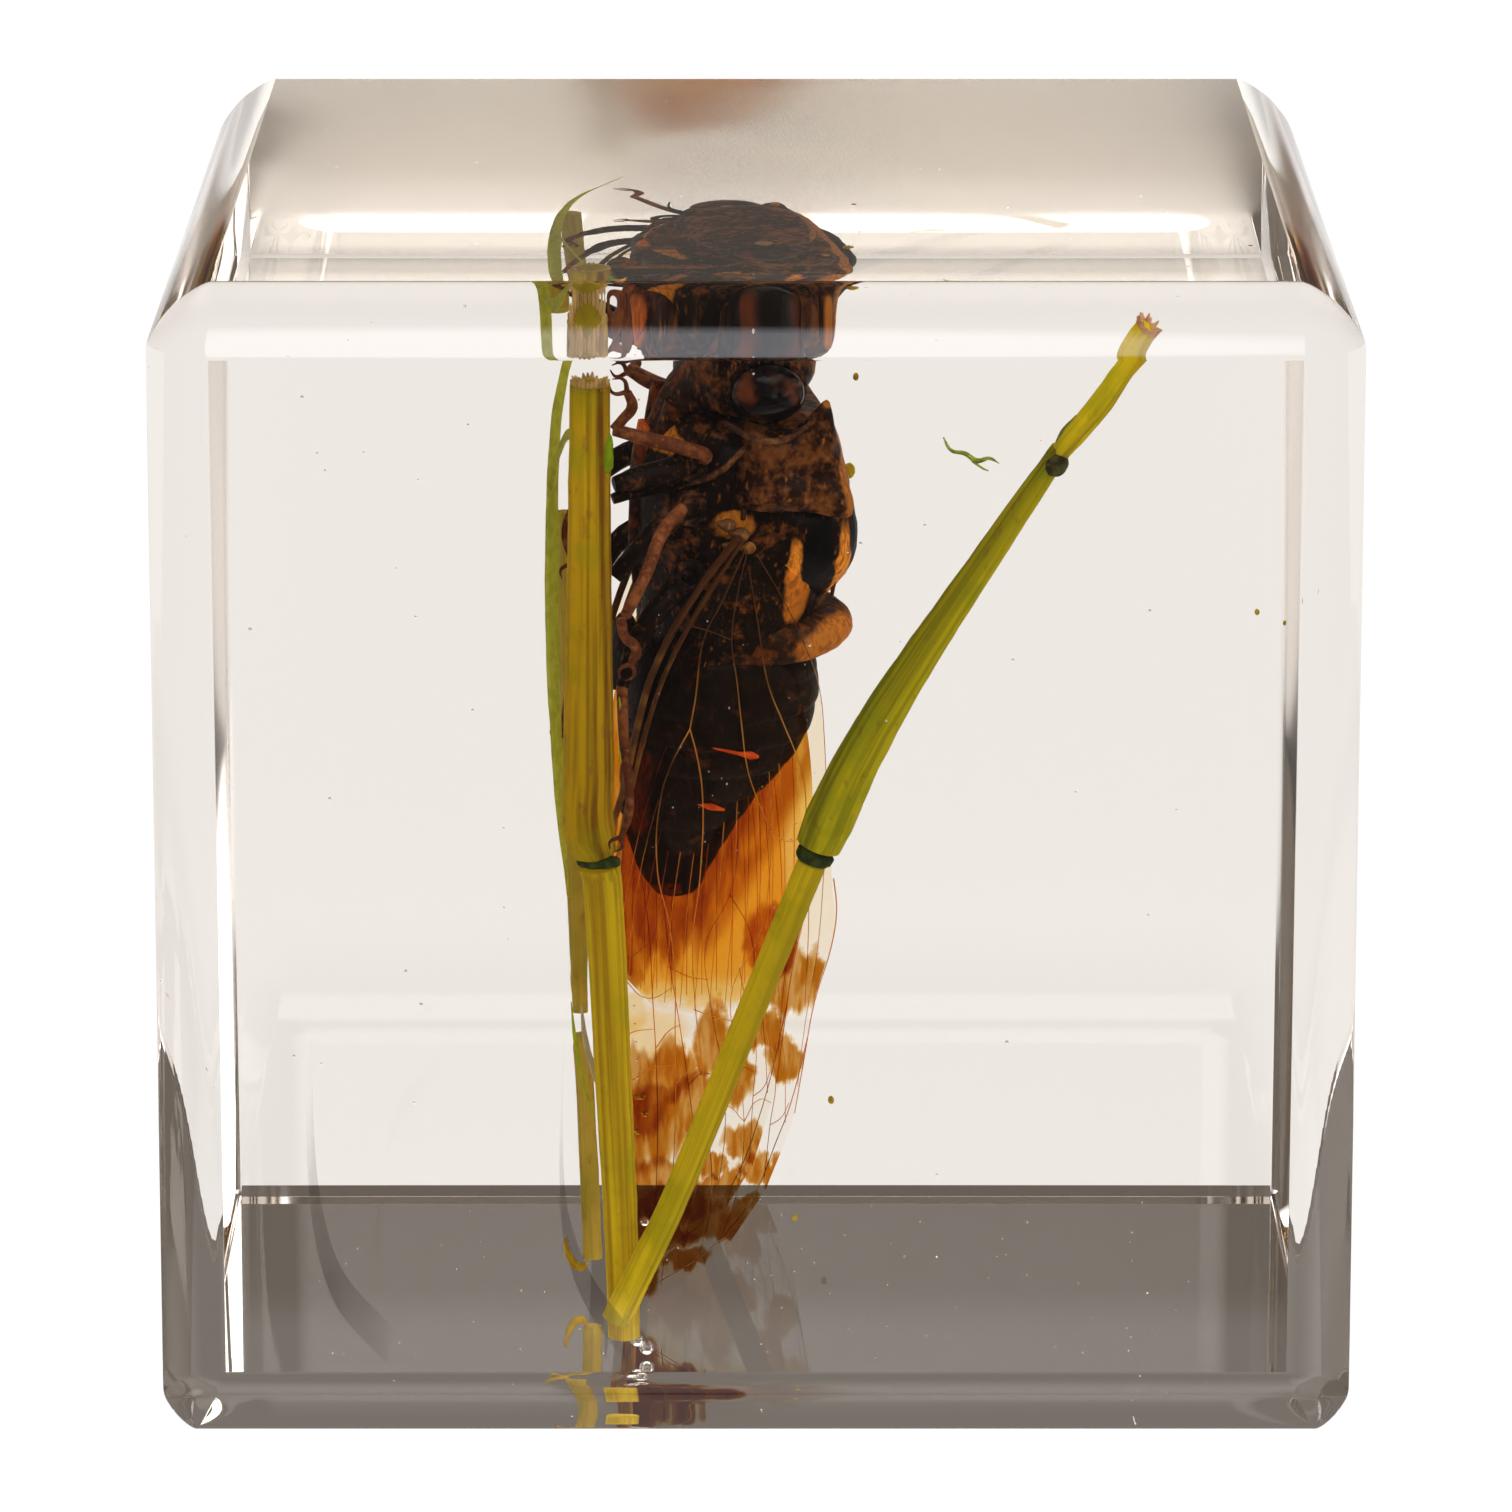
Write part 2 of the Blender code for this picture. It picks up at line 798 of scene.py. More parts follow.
@dataclass(frozen=True)
class Chitin:
    """The insect's hard shell: near black and red brown, with horn-coloured thin places.

    Attributes:
        name: the material's name.
        dark: the colour of thick shell.
        mid: the colour of its mottles.
        horn: the colour of thin edges and membranes: their own amber, brightened as a painted glow of light
            coming through them.
        glow: the colour of light that comes through thin shell.
        through: how much of the horn-coloured parts lets light through.
        painted_glow: how strongly the thin places give off emission in the glow colour, a painted glow that
            stands in for light coming through thin shell.
        amount: how much of the surface is mottled, from 0 to 1.
        thin: oval places that are thin: middle and half sizes, across and along.
        black: oval marks that are black.
        pale: oval marks that are tan.
    """

    name: str
    dark: Colour = (0.0065, 0.0024, 0.001)
    mid: Colour = (0.17, 0.048, 0.011)
    horn: Colour = (0.5, 0.17, 0.035)
    glow: Colour = (1.0, 0.55, 0.16)
    through: float = 0.55
    painted_glow: float = 0.0
    amount: float = 0.5
    thin: tuple = ()
    black: tuple = ()
    pale: tuple = ()

    def make(self) -> Material:
        """Makes the material.

        Returns:
            The material.
        """
        graph = Graph(self.name)
        place = graph.local(IN_INSECT)
        u, _, z = graph.axes(place)
        coarse = graph.noise(place, 0.8, 5.0)
        fine = graph.noise(place, 3.0, 6.0)
        mottle = (coarse * 0.6 + fine * 0.4).step(0.6 - 0.16 * self.amount, 0.74 - 0.08 * self.amount)
        colour = graph.mix(mottle * (0.25 + fine * 1.1), self.dark, self.mid)
        grain = graph.noise(graph.stretched(place, (2.6, 2.6, 1.1)), 2.0, 6.0)
        flecks = grain.step(0.58, 0.74) * (0.05 + 0.45 * self.amount)
        colour = graph.mix(flecks, colour, self.horn)
        window: Field | float = mottle * (0.22 * self.amount)
        painted_glow_mask: Field | float = 0.0
        if self.thin:
            wobble = (coarse - 0.5) * 0.9
            thin = graph.spots(u + wobble, z + wobble, self.thin)
            # The thin places take the horn colour, partly their own amber and partly a painted glow of
            # light through thin shell.
            colour = graph.mix((thin * (0.35 + 0.9 * fine)).clamped(), colour, self.horn)
            stripes = grain.step(0.56, 0.4) * 0.75
            colour = graph.mix(thin * stripes, colour, self.mid)
            window = window.most(thin * self.through * (1.0 - stripes))
            # Where the thin places glow by painted emission: between their stripes.
            painted_glow_mask = thin * (1.0 - stripes) * (0.45 + fine)
        if self.black:
            black = graph.spots(u, z, self.black, 0.16)
            colour = graph.mix(black, colour, (0.003, 0.002, 0.002))
            window = window * (1.0 - black)
            painted_glow_mask = painted_glow_mask * (1.0 - black)
        if self.pale:
            pale = graph.spots(u, z, self.pale, 0.3)
            colour = graph.mix(pale * 0.85, colour, (0.5, 0.3, 0.16))
            window = window.most(pale * 0.5)
        height = coarse * 0.5 + fine * 0.35 + grain * 0.35
        values = {
            "Base Color": colour, "Roughness": 0.28 + fine * 0.3, "Coat Weight": 0.05,
            "Coat Roughness": 0.15, "IOR": 1.07, "Normal": graph.bump(height, 0.7, 0.0002),
        }
        # Painted glow: emission in the thin places, which stands in for light coming through thin shell.
        if self.painted_glow:
            red, green, blue = self.glow
            painted_glow_colour = (self.painted_glow * red, self.painted_glow * green * 0.65, self.painted_glow * blue * 0.12)
            values["Emission Color"] = graph.mix(painted_glow_mask, (0.0, 0.0, 0.0), painted_glow_colour)
            values["Emission Strength"] = 1.0
        shell = graph.add("ShaderNodeBsdfPrincipled", None, values)
        film = graph.add("ShaderNodeBsdfTranslucent", None, {"Color": self.glow})
        return graph.finish(graph.blend(window.clamped(), shell, film))


@dataclass(frozen=True)
class EyeLens:
    """The big side eyes: dark and glossy, with brown depths and tiny facets."""

    def make(self) -> Material:
        """Makes the material.

        Returns:
            The material.
        """
        graph = Graph("eye_lens")
        place = graph.local(IN_INSECT)
        depth = graph.noise(place, 0.75, 2.0)
        colour = graph.mix(depth.step(0.48, 0.72), (0.004, 0.002, 0.002), (0.15, 0.036, 0.012))
        settings = {"feature": "F1"}
        facets = graph.add("ShaderNodeTexVoronoi", settings, {"Vector": place, "Scale": 16.0})
        values = {
            "Base Color": colour, "Roughness": 0.12, "Coat Weight": 0.1, "Coat Roughness": 0.05,
            "IOR": 1.12, "Normal": graph.bump(1.0 - graph.field(facets), 0.08, 0.00002),
        }
        return graph.finish(graph.add("ShaderNodeBsdfPrincipled", None, values))


@dataclass(frozen=True)
class Membrane:
    """Wing film: clear, honey and brown areas, seen through like tinted glass.

    Attributes:
        name: the material's name.
        honey: the tint of honey-coloured film, for each of its two faces.
        brown: the tint of its brown patches, for each face.
        clear: the tint of clear film.
        patches: brown patches as middle and half sizes, across and along.
        tans: paler tan patches.
        windows: clear places.
        honey_from: height below which the film is clear.
        honey_to: height above which the film is honey-coloured.
        honey_share: how strong the honey colour is there, from 0 to 1.
        dust: how much of the film is hazed by dust.
        fringe: True for a brown band inside the hind edge, as on a hindwing.
        fringe_edge: that band's line, as its height at the middle, its slope and its distance out.
    """

    name: str
    honey: Colour = (0.945, 0.745, 0.36)
    brown: Colour = (0.68, 0.38, 0.06)
    clear: Colour = (0.985, 0.97, 0.945)
    patches: tuple = ()
    tans: tuple = ()
    windows: tuple = ()
    honey_from: float = -20.0
    honey_to: float = -18.0
    honey_share: float = 1.0
    dust: float = 0.002
    fringe: bool = False
    fringe_edge: Point = (-5.92, 0.48, 3.8)

    def make(self) -> Material:
        """Makes the material.

        Returns:
            The material.
        """
        graph = Graph(self.name)
        place = graph.local(IN_INSECT)
        u, _, z = graph.axes(place)
        streaks = graph.noise(graph.stretched(place, (1.0, 1.0, 0.16)), 2.6, 4.0)
        blotch = graph.noise(place, 0.85, 4.0)
        sway = (blotch - 0.5) * 2.6
        drift = (streaks - 0.5) * 1.6
        honey = (z + sway).step(self.honey_from, self.honey_to) * self.honey_share
        honey = honey * (0.7 + streaks * 0.6)
        if self.windows:
            honey = honey * (1.0 - graph.spots(u + drift * 0.3, z + drift, self.windows))
        if self.tans:
            honey = honey.most(graph.spots(u + sway * 0.3, z + sway * 0.6, self.tans) * 0.8)
        brown: Field | float = 0.0
        if self.patches:
            brown = graph.spots(u + sway * 0.35, z + sway * 0.5 + drift, self.patches, 0.35)
            if self.fringe:
                height, slope, out = self.fringe_edge
                beyond = u + drift * 0.6 - (z - height) * slope - out
                brown = brown.most(beyond.step(1.3, 0.3) * (z + drift * 2.2).step(-18.7, -17.0))
            honey = honey.most(brown * 0.95)
            brown = (brown * (0.58 + streaks.step(0.36, 0.6) * 0.42)).clamped()
        film = graph.add("ShaderNodeBsdfTransparent", None, {"Color": self.clear})
        gold = graph.add("ShaderNodeBsdfTransparent", None, {"Color": self.honey})
        shade = graph.add("ShaderNodeBsdfTransparent", None, {"Color": self.brown})
        seen = graph.blend(brown, graph.blend(honey.clamped(), film, gold), shade)
        colour = graph.mix(honey.clamped(), (0.55, 0.46, 0.34), (0.42, 0.2, 0.03))
        values = {"Base Color": colour, "Roughness": 0.32, "IOR": 1.12}
        skin = graph.add("ShaderNodeBsdfPrincipled", None, values)
        haze = honey * 0.003 + self.dust
        return graph.finish(graph.blend(haze.clamped(), seen, skin))


@dataclass(frozen=True)
class Vein:
    """Wing veins: thin golden horn that lets some light through.

    Attributes:
        name: the material's name.
        colour: its golden colour.
        glow: the colour of light through it.
    """

    name: str = "wing_vein"
    colour: Colour = (0.85, 0.42, 0.07)
    glow: Colour = (0.98, 0.52, 0.1)

    def make(self) -> Material:
        """Makes the material.

        Returns:
            The material.
        """
        graph = Graph(self.name)
        place = graph.local(IN_INSECT)
        u, _, z = graph.axes(place)
        dapple = graph.noise(place, 1.3, 3.0)
        base = z.step(-8.0, -2.5).most(u.step(-2.6, -3.3) * z.step(-15.0, -9.0) * 0.8)
        foot = z.step(-23.0, -26.0)
        shade = (dapple * 0.9 - 0.15 + base * 0.85 + foot * 0.6).clamped()
        colour = graph.mix(shade, self.colour, (0.06, 0.02, 0.006))
        values = {"Base Color": colour, "Roughness": 0.35, "IOR": 1.15}
        horn = graph.add("ShaderNodeBsdfPrincipled", None, values)
        film = graph.add("ShaderNodeBsdfTranslucent", None, {"Color": self.glow})
        through = 0.45 + z.step(-9.0, -16.0) * 0.3 - base * 0.35 - foot * 0.5
        return graph.finish(graph.blend(through, horn, film))


@dataclass(frozen=True)
class Stalk:
    """Dried grass: fine lengthwise streaks from yellow through olive to green, with one side painted olive
    as shade.

    Attributes:
        name: the material's name.
        light: its yellow.
        dark: its olive, which also paints the shade on its shaded side.
        green: its green.
        lit: the colour of light through its yellow.
        shaded: the colour of light through its olive and through its painted shaded side.
        through: how much light comes through it.
        shaded_side: where round the stalk the painted shaded side lies, from 0 to 1.
        brown: how many brown flecks it has.
    """

    name: str
    light: Colour = (0.92, 0.7, 0.02)
    dark: Colour = (0.4, 0.27, 0.015)
    green: Colour = (0.34, 0.38, 0.008)
    lit: Colour = (1.0, 0.82, 0.02)
    shaded: Colour = (0.7, 0.46, 0.02)
    through: float = 0.5
    shaded_side: float = 0.5
    brown: float = 0.3

    def make(self) -> Material:
        """Makes the material.

        Returns:
            The material.
        """
        graph = Graph(self.name)
        coordinates = graph.add("ShaderNodeTexCoord")
        along, around, _ = graph.axes(coordinates.outputs["UV"])
        # Painted shade: one side of the stalk is painted olive, as if it were turned away from the light.
        turn = (around - self.shaded_side) * (2 * math.pi)
        side = turn.math("COSINE") * 0.5 + 0.5
        point = graph.add("ShaderNodeCombineXYZ", None, {0: around * 20.0, 1: along * 2.0})
        streaks = graph.noise(point, 1.0, 2.0).step(0.38, 0.62)
        broad = graph.add("ShaderNodeCombineXYZ", None, {0: around * 9.0, 1: along * 1.6})
        bands = graph.noise(broad, 1.0, 2.0).step(0.35, 0.65)
        place = graph.local(IN_BLOCK)
        patch = graph.noise(place, 0.35, 3.0)
        speck = graph.noise(graph.stretched(place, (1.0, 1.0, 0.5)), 3.0, 5.0)
        # The olive mixes the painted shade of that side with the stalk's own streaks and bands.
        olive_and_shade = (side * 0.9 + bands * 0.35 + streaks * 0.6 - 0.66).clamped()
        colour = graph.mix(olive_and_shade, self.light, self.dark)
        greener = (patch.step(0.5, 0.66) * (1.0 - olive_and_shade * 0.4)).clamped() * 0.8
        colour = graph.mix(greener, colour, self.green)
        fleck = (speck.step(0.58, 0.72) * self.brown).clamped()
        colour = graph.mix(fleck, colour, (0.16, 0.075, 0.02))
        values = {
            "Base Color": colour, "Roughness": 0.5, "IOR": 1.12,
            "Normal": graph.bump(streaks + bands * 0.5, 0.5, 0.00015),
        }
        skin = graph.add("ShaderNodeBsdfPrincipled", None, values)
        light = graph.add("ShaderNodeBsdfTranslucent", None, {"Color": self.lit})
        leaf = graph.add("ShaderNodeBsdfTranslucent", None, {"Color": self.shaded})
        # The light through the stalk is darker where the olive, with its painted shade, lies.
        inner = graph.blend(olive_and_shade, light, leaf)
        return graph.finish(graph.blend(self.through, skin, inner))


@dataclass(frozen=True)
class Plain:
    """A small piece's finish: one colour with soft mottling.

    Attributes:
        name: the material's name.
        colour: its colour.
        other: the colour of its mottles.
        through: how much light comes through it.
    """

    name: str
    colour: Colour
    other: Colour
    through: float = 0.3

    def make(self) -> Material:
        """Makes the material.

        Returns:
            The material.
        """
        graph = Graph(self.name)
        place = graph.local(IN_BLOCK)
        mottle = graph.noise(place, 2.6, 4.0)
        colour = graph.mix(mottle.step(0.42, 0.62), self.colour, self.other)
        values = {
            "Base Color": colour, "Roughness": 0.55, "IOR": 1.12,
            "Normal": graph.bump(mottle, 0.4, 0.0001),
        }
        skin = graph.add("ShaderNodeBsdfPrincipled", None, values)
        film = graph.add("ShaderNodeBsdfTranslucent", None, {"Color": self.colour})
        return graph.finish(graph.blend(self.through, skin, film))


# ---- studio


@dataclass
class Studio:
    """The pale floor, the soft light and the camera.

    Attributes:
        focal_length: the lens's, in millimetres.
        camera_back: how far in front of the block the camera is, in metres.
        camera_height: its height, in metres.
        camera_pitch: how far down it looks, in degrees.
        table_front: where in front of the block the lit table fades to dark, in millimetres.
        table_rear: where behind it the table's dimmer strip, a painted shadow of the block, fades out.
        under_aside: how far aside the table is brightest under the block.
        under_depth: from where to where, front to rear, it is.
        grey: the colour of the dim room.
        sheet: the colour of the light sheet.
        sheet_height: how high the sheet stands, in degrees.
        sheet_aside: how far to the left it stands.
        sheet_inner: its full light's radius, in degrees.
        sheet_outer: its edge's radius, in degrees.
        key_size: the lamp's side, in metres.
        key_power: its power, in watts.
        key_spot: its place, in metres.
    """

    focal_length: float = 193.8
    camera_back: float = 0.3137
    camera_height: float = 0.1046
    camera_pitch: float = 15.0
    table_front: tuple[float, float] = (-41.0, -34.0)
    table_rear: tuple[float, float] = (66.0, 50.0)
    under_aside: tuple[float, float] = (22.0, 20.0)
    under_depth: tuple[float, float, float, float] = (-20.0, -17.0, 23.5, 21.5)
    grey: Colour = (0.168, 0.147, 0.127)
    sheet: Colour = (3.3, 3.3, 3.45)
    sheet_height: float = 40.0
    sheet_aside: float = -0.1
    sheet_inner: float = 19.0
    sheet_outer: float = 28.0
    key_size: float = 0.8
    key_power: float = 5.2
    key_spot: Point = (0.45, -0.35, 0.3)

    def build(self) -> None:
        """Makes the whole studio."""
        self.build_floor()
        self.build_sky()
        self.build_key()
        self.build_camera()
        self.set_light_paths()

    def build_floor(self) -> None:
        """Makes the pale glowing table that the block stands on, with painted shade under the block's rear
        edge and a painted shadow behind the block.
        """
        Bench.clear()
        bpy.ops.mesh.primitive_plane_add(size=12, location=(0, 0, BLOCK_LOW.z - 0.2 * MM))
        floor = bpy.context.object
        floor.name = "floor"
        graph = Graph("pale_sheet")
        coordinates = graph.add("ShaderNodeTexCoord")
        x, y, _ = graph.axes(coordinates.outputs["Object"])
        across, along = (x / MM).math("ABSOLUTE"), y / MM
        under = graph.mix(along.step(6.0, 11.0), (1.74, 1.65, 1.5), (2.15, 2.08, 1.95))
        # Painted shade: the glow under the block is dimmer towards its rear edge, as a contact shadow.
        under = graph.mix(along.step(19.0, 21.0), under, (1.5, 1.44, 1.36))
        beneath = across.step(*self.under_aside)
        beneath = beneath * along.step(*self.under_depth[:2]) * along.step(*self.under_depth[2:])
        # Painted shadow: a dimmer strip of glow, as wide as the block, behind it.
        behind = across.step(23.0, 20.5) * along.step(23.0, 24.0) * along.step(*self.table_rear)
        glow = graph.mix(behind, (1.02, 1.015, 1.005), (0.96, 0.955, 0.948))
        glow = graph.mix(beneath, glow, under)
        values = {
            "Base Color": (0.04, 0.04, 0.04), "Roughness": 0.6, "Specular IOR Level": 0.0,
            "Emission Color": graph.mix(along.step(*self.table_front), (0.04, 0.038, 0.036), glow),
            "Emission Strength": 1.0,
        }
        table = graph.add("ShaderNodeBsdfPrincipled", None, values)
        floor.data.materials.append(graph.finish(table))

    def build_sky(self) -> None:
        """Makes the surroundings: a dim room, with a soft light sheet in front and above."""
        bpy.context.scene.world = bpy.data.worlds.new("studio")
        graph = Graph("studio", bpy.context.scene.world)
        direction = graph.add("ShaderNodeTexCoord").outputs["Generated"]
        rise = math.radians(self.sheet_height)
        toward = (self.sheet_aside, -math.cos(rise), math.sin(rise))
        facing = graph.add("ShaderNodeVectorMath", {"operation": "DOT_PRODUCT"}, {0: direction, 1: toward})
        outer, inner = math.cos(math.radians(self.sheet_outer)), math.cos(math.radians(self.sheet_inner))
        stops = [(0.0, self.grey), (outer, self.grey), (inner, self.sheet), (1.0, self.sheet)]
        light = graph.add("ShaderNodeValToRGB", {"stops": stops}, {0: facing.outputs["Value"]})
        graph.finish(graph.add("ShaderNodeBackground", None, {0: light, 1: 1.0}))

    def build_key(self) -> None:
        """Makes the soft lamp at the right, which shows only in what it lights."""
        light = bpy.data.lights.new("key", "AREA")
        light.size = self.key_size
        light.energy = self.key_power
        lamp = bpy.data.objects.new("key", light)
        lamp.location = self.key_spot
        aim = Vector(self.key_spot) - (BLOCK_LOW + BLOCK_HIGH) / 2
        lamp.rotation_euler = aim.to_track_quat("Z", "Y").to_euler()
        lamp.visible_camera = False
        lamp.visible_glossy = False
        bpy.context.scene.collection.objects.link(lamp)

    def build_camera(self) -> None:
        """Makes the camera, looking down at the block from in front."""
        lens = bpy.data.cameras.new("camera")
        lens.lens = self.focal_length
        lens.sensor_width = 36
        camera = bpy.data.objects.new("camera", lens)
        camera.location = (0, -self.camera_back, self.camera_height)
        camera.rotation_euler = (math.radians(90 - self.camera_pitch), 0, 0)
        bpy.context.scene.collection.objects.link(camera)
        bpy.context.scene.camera = camera

    def set_light_paths(self) -> None:
        """Lets light pass through as many clear faces as the block and the wings have."""
        scene = bpy.context.scene
        scene.view_settings.view_transform = "Standard"
        scene.cycles.max_bounces = 32
        scene.cycles.transmission_bounces = 32
        scene.cycles.glossy_bounces = 16
        scene.cycles.transparent_max_bounces = 48
        scene.cycles.caustics_refractive = True
        scene.cycles.caustics_reflective = True
        scene.cycles.blur_glossy = 0.0


# ---- resin


@dataclass
class ResinCasting:
    """The clear block itself, with polished faces and softened, cut edges.

    Attributes:
        edge_cut: how far the front and top edges are cut back, in millimetres.
        back_cut: how far the rear edges are.
        base_cut: how far the lower side edges are.
        heel_cut: how wide the flat on the lower rear edge is.
        toe_depth: how deep the lower front edge is against the others.
        edge_profile: how round the edges are, as the Bevel modifier counts it.
        edge_steps: how many strips go round an edge.
        flat_margin: how far inside its edge each big face is truly flat.
        flat_faces: how many big faces there are.
    """

    edge_cut: float = 2.45
    back_cut: float = 0.9
    base_cut: float = 1.6
    heel_cut: float = 0.4
    toe_depth: float = 0.22
    edge_profile: float = 0.37
    edge_steps: int = 24
    flat_margin: float = 0.02
    flat_faces: int = 6

    def build(self) -> None:
        """Makes the block in place of its coarse solid."""
        Bench.clear()
        size = BLOCK_HIGH - BLOCK_LOW
        bpy.ops.mesh.primitive_cube_add(size=1, location=(BLOCK_LOW + BLOCK_HIGH) / 2)
        block = bpy.context.object
        block.name = "resin_casting"
        block.scale = size
        bpy.ops.object.transform_apply(location=True, rotation=True, scale=True)
        weights = block.data.attributes.new("bevel_weight_edge", "FLOAT", "EDGE")
        for edge, weight in zip(block.data.edges, weights.data):
            ends = [block.data.vertices[index].co for index in edge.vertices]
            rear = min(end.y for end in ends) > 0
            front = max(end.y for end in ends) < 0
            base = max(end.z for end in ends) < self.edge_cut * MM
            cut = self.base_cut if base and not front else self.back_cut if rear else self.edge_cut
            weight.value = 0.0 if rear and base else cut / self.edge_cut
        Bench.modify(
            block, "BEVEL", width=self.edge_cut * MM, segments=self.edge_steps, profile=self.edge_profile,
            limit_method="WEIGHT",
        )
        self.cut_heel(block)
        self.tuck_toe(block)
        sizes = sorted(face.area for face in block.data.polygons)
        for face in block.data.polygons:
            face.select = face.area >= sizes[-self.flat_faces]
        bpy.ops.object.mode_set(mode="EDIT")
        bpy.ops.mesh.inset(thickness=self.flat_margin * MM, use_individual=True)
        bpy.ops.object.mode_set(mode="OBJECT")
        bpy.ops.object.shade_smooth()
        for face in block.data.polygons:
            face.use_smooth = not (face.normal.y > 0.6 and face.normal.z < -0.6)
        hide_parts("resin_block")
        Bench.dress(block, ClearResin().make(), Slot.RESIN)

    def cut_heel(self, block: Object) -> None:
        """Cuts the narrow flat on the lower rear edge.

        Args:
            block: the block, in metres.
        """
        Bench.let_go(block)
        near = 0.01 * MM
        for edge in block.data.edges:
            ends = [block.data.vertices[index].co for index in edge.vertices]
            edge.select = all(end.y > BLOCK_HIGH.y - near and end.z < BLOCK_LOW.z + near for end in ends)
        bpy.ops.object.mode_set(mode="EDIT")
        bpy.ops.mesh.bevel(offset=self.heel_cut * MM, segments=1)
        bpy.ops.mesh.select_all(action="DESELECT")
        bpy.ops.object.mode_set(mode="OBJECT")

    def tuck_toe(self, block: Object) -> None:
        """Makes the lower front edge steeper than the others, as it was ground.

        Args:
            block: the block, in metres.
        """
        reach = self.edge_cut * MM
        for vertex in block.data.vertices:
            height = (vertex.co.z - BLOCK_LOW.z) / reach
            depth = (vertex.co.y - BLOCK_LOW.y) / reach
            if depth < 1.02 and height < 1.0:
                share = min(1.0, (1.0 - height) / 0.5)
                share = share * share * (3.0 - 2.0 * share)
                vertex.co.y = BLOCK_LOW.y + depth * reach * (1.0 - share * (1.0 - self.toe_depth))


# ---- insect: body


@dataclass
class Thorax:
    """The chest: its core, the collar shield, the back shield and the waist band.

    Attributes:
        core: the chest core's cross-sections.
        back: the back shield's.
        collar: the collar shield's.
        waist: the waist band's.
    """

    core: tuple = (
        Ring(5.3, -0.8, 2.2, 3.0), Ring(4.0, -0.7, 3.1, 3.8), Ring(2.0, -0.6, 3.6, 4.1, corner=0.7),
        Ring(0.0, -0.4, 3.8, 4.1, corner=0.7), Ring(-1.5, -0.4, 3.7, 3.9, corner=0.75),
        Ring(-2.9, -0.6, 3.3, 3.6, corner=0.8), Ring(-4.3, -0.7, 3.3, 3.5), Ring(-5.4, -0.7, 3.0, 3.3),
    )
    back: tuple = (
        Ring(2.3, 1.6, 1.8, 3.7, corner=0.8), Ring(1.2, 1.65, 2.4, 4.15, corner=0.72),
        Ring(-0.3, 1.65, 2.55, 4.2, corner=0.72), Ring(-1.5, 1.5, 2.5, 3.6, corner=0.78),
        Ring(-2.3, 1.4, 2.3, 2.8), Ring(-2.9, 1.45, 1.8, 1.9),
    )
    collar: tuple = (
        Ring(5.2, 1.0, 1.7, 4.5, corner=0.6), Ring(4.5, 0.95, 1.95, 4.85, corner=0.5),
        Ring(3.6, 0.95, 2.15, 5.0, corner=0.45), Ring(2.6, 1.0, 2.38, 5.1, corner=0.45),
        Ring(2.0, 1.0, 2.45, 5.0, corner=0.5), Ring(1.6, 1.0, 2.25, 4.5, corner=0.6),
    )
    waist: tuple = (
        Ring(-3.1, 0.3, 2.8, 3.1), Ring(-3.45, 0.6, 3.45, 3.45), Ring(-4.0, 0.75, 3.75, 3.6),
        Ring(-4.6, 0.65, 3.6, 3.55), Ring(-5.15, 0.2, 2.95, 3.3),
    )

    def build(self) -> None:
        """Makes the four shells, the ridges on them and the wing hinges."""
        shell = Chitin(
            "chest_shell", thin=((1.45, -1.6, 0.5, 1.5), (-3.6, 3.9, 0.7, 0.5), (-1.3, 1.1, 0.8, 0.5)),
            horn=(0.75, 0.22, 0.02), amount=0.45, painted_glow=0.18,
        ).make()
        core = Bench.loft("chest", list(self.core))
        Bench.settle(core, BODY, shell, rounds=2, lumps=(0.9, 0.25))
        self.build_back()
        self.build_collar()
        self.build_waist()
        self.build_ridges()
        self.build_hinges()

    def build_back(self) -> None:
        """Makes the big shield of the back, with its black cone marks."""
        finish = Chitin(
            "back_shell", amount=0.55, thin=((1.15, -1.6, 0.34, 1.9), (3.2, -1.2, 0.34, 2.1)),
            black=((2.1, -0.3, 0.6, 2.1), (2.25, -1.6, 0.38, 1.3), (3.8, 0.6, 0.4, 1.2)),
            horn=(0.85, 0.26, 0.025), through=0.4, painted_glow=0.42,
        ).make()
        back = Bench.loft("back_shield", list(self.back))
        Bench.settle(back, BODY, finish, rounds=2, lumps=(0.7, 0.12))

    def build_collar(self) -> None:
        """Makes the collar shield, drawn out into a flap and a small horn on each side."""
        finish = Chitin(
            "collar_shell", amount=1.15, dark=(0.016, 0.005, 0.002), mid=(0.21, 0.068, 0.018),
            thin=((3.0, 3.6, 0.3, 2.0), (3.4, 2.3, 0.35, 0.6), (2.1, 6.3, 0.3, 0.4)), through=0.5,
            painted_glow=0.15,
        ).make()
        collar = Bench.loft("collar_shield", list(self.collar))
        Bench.refine(collar, 2)
        for side in Side:
            y = side.value
            Bench.pull(collar, (1.9, 4.5 * y, 5.2), (0.15, 0.1 * y, 1.45), 1.0)
            Bench.pull(collar, (2.6, 4.6 * y, 2.1), (0.35, 0.5 * y, -0.25), 1.3)
            Bench.pull(collar, (-0.6, 4.6 * y, 5.0), (-0.5, 0.0, 0.35), 0.9)
            Bench.pull(collar, (0.8, 5.0 * y, 3.5), (0.0, -0.35 * y, 0.0), 0.9)
        Bench.settle(collar, BODY, finish, lumps=(0.55, 0.16))

    def build_waist(self) -> None:
        """Makes the bulging amber band between the chest and the belly."""
        finish = Chitin(
            "waist_shell", dark=(0.02, 0.008, 0.004), horn=(0.62, 0.2, 0.03), amount=0.8,
            thin=((3.1, -4.3, 1.5, 0.8),), through=0.5, painted_glow=0.16,
        ).make()
        waist = Bench.loft("waist_band", list(self.waist))
        Bench.settle(waist, BODY, finish, rounds=2, lumps=(0.6, 0.1))

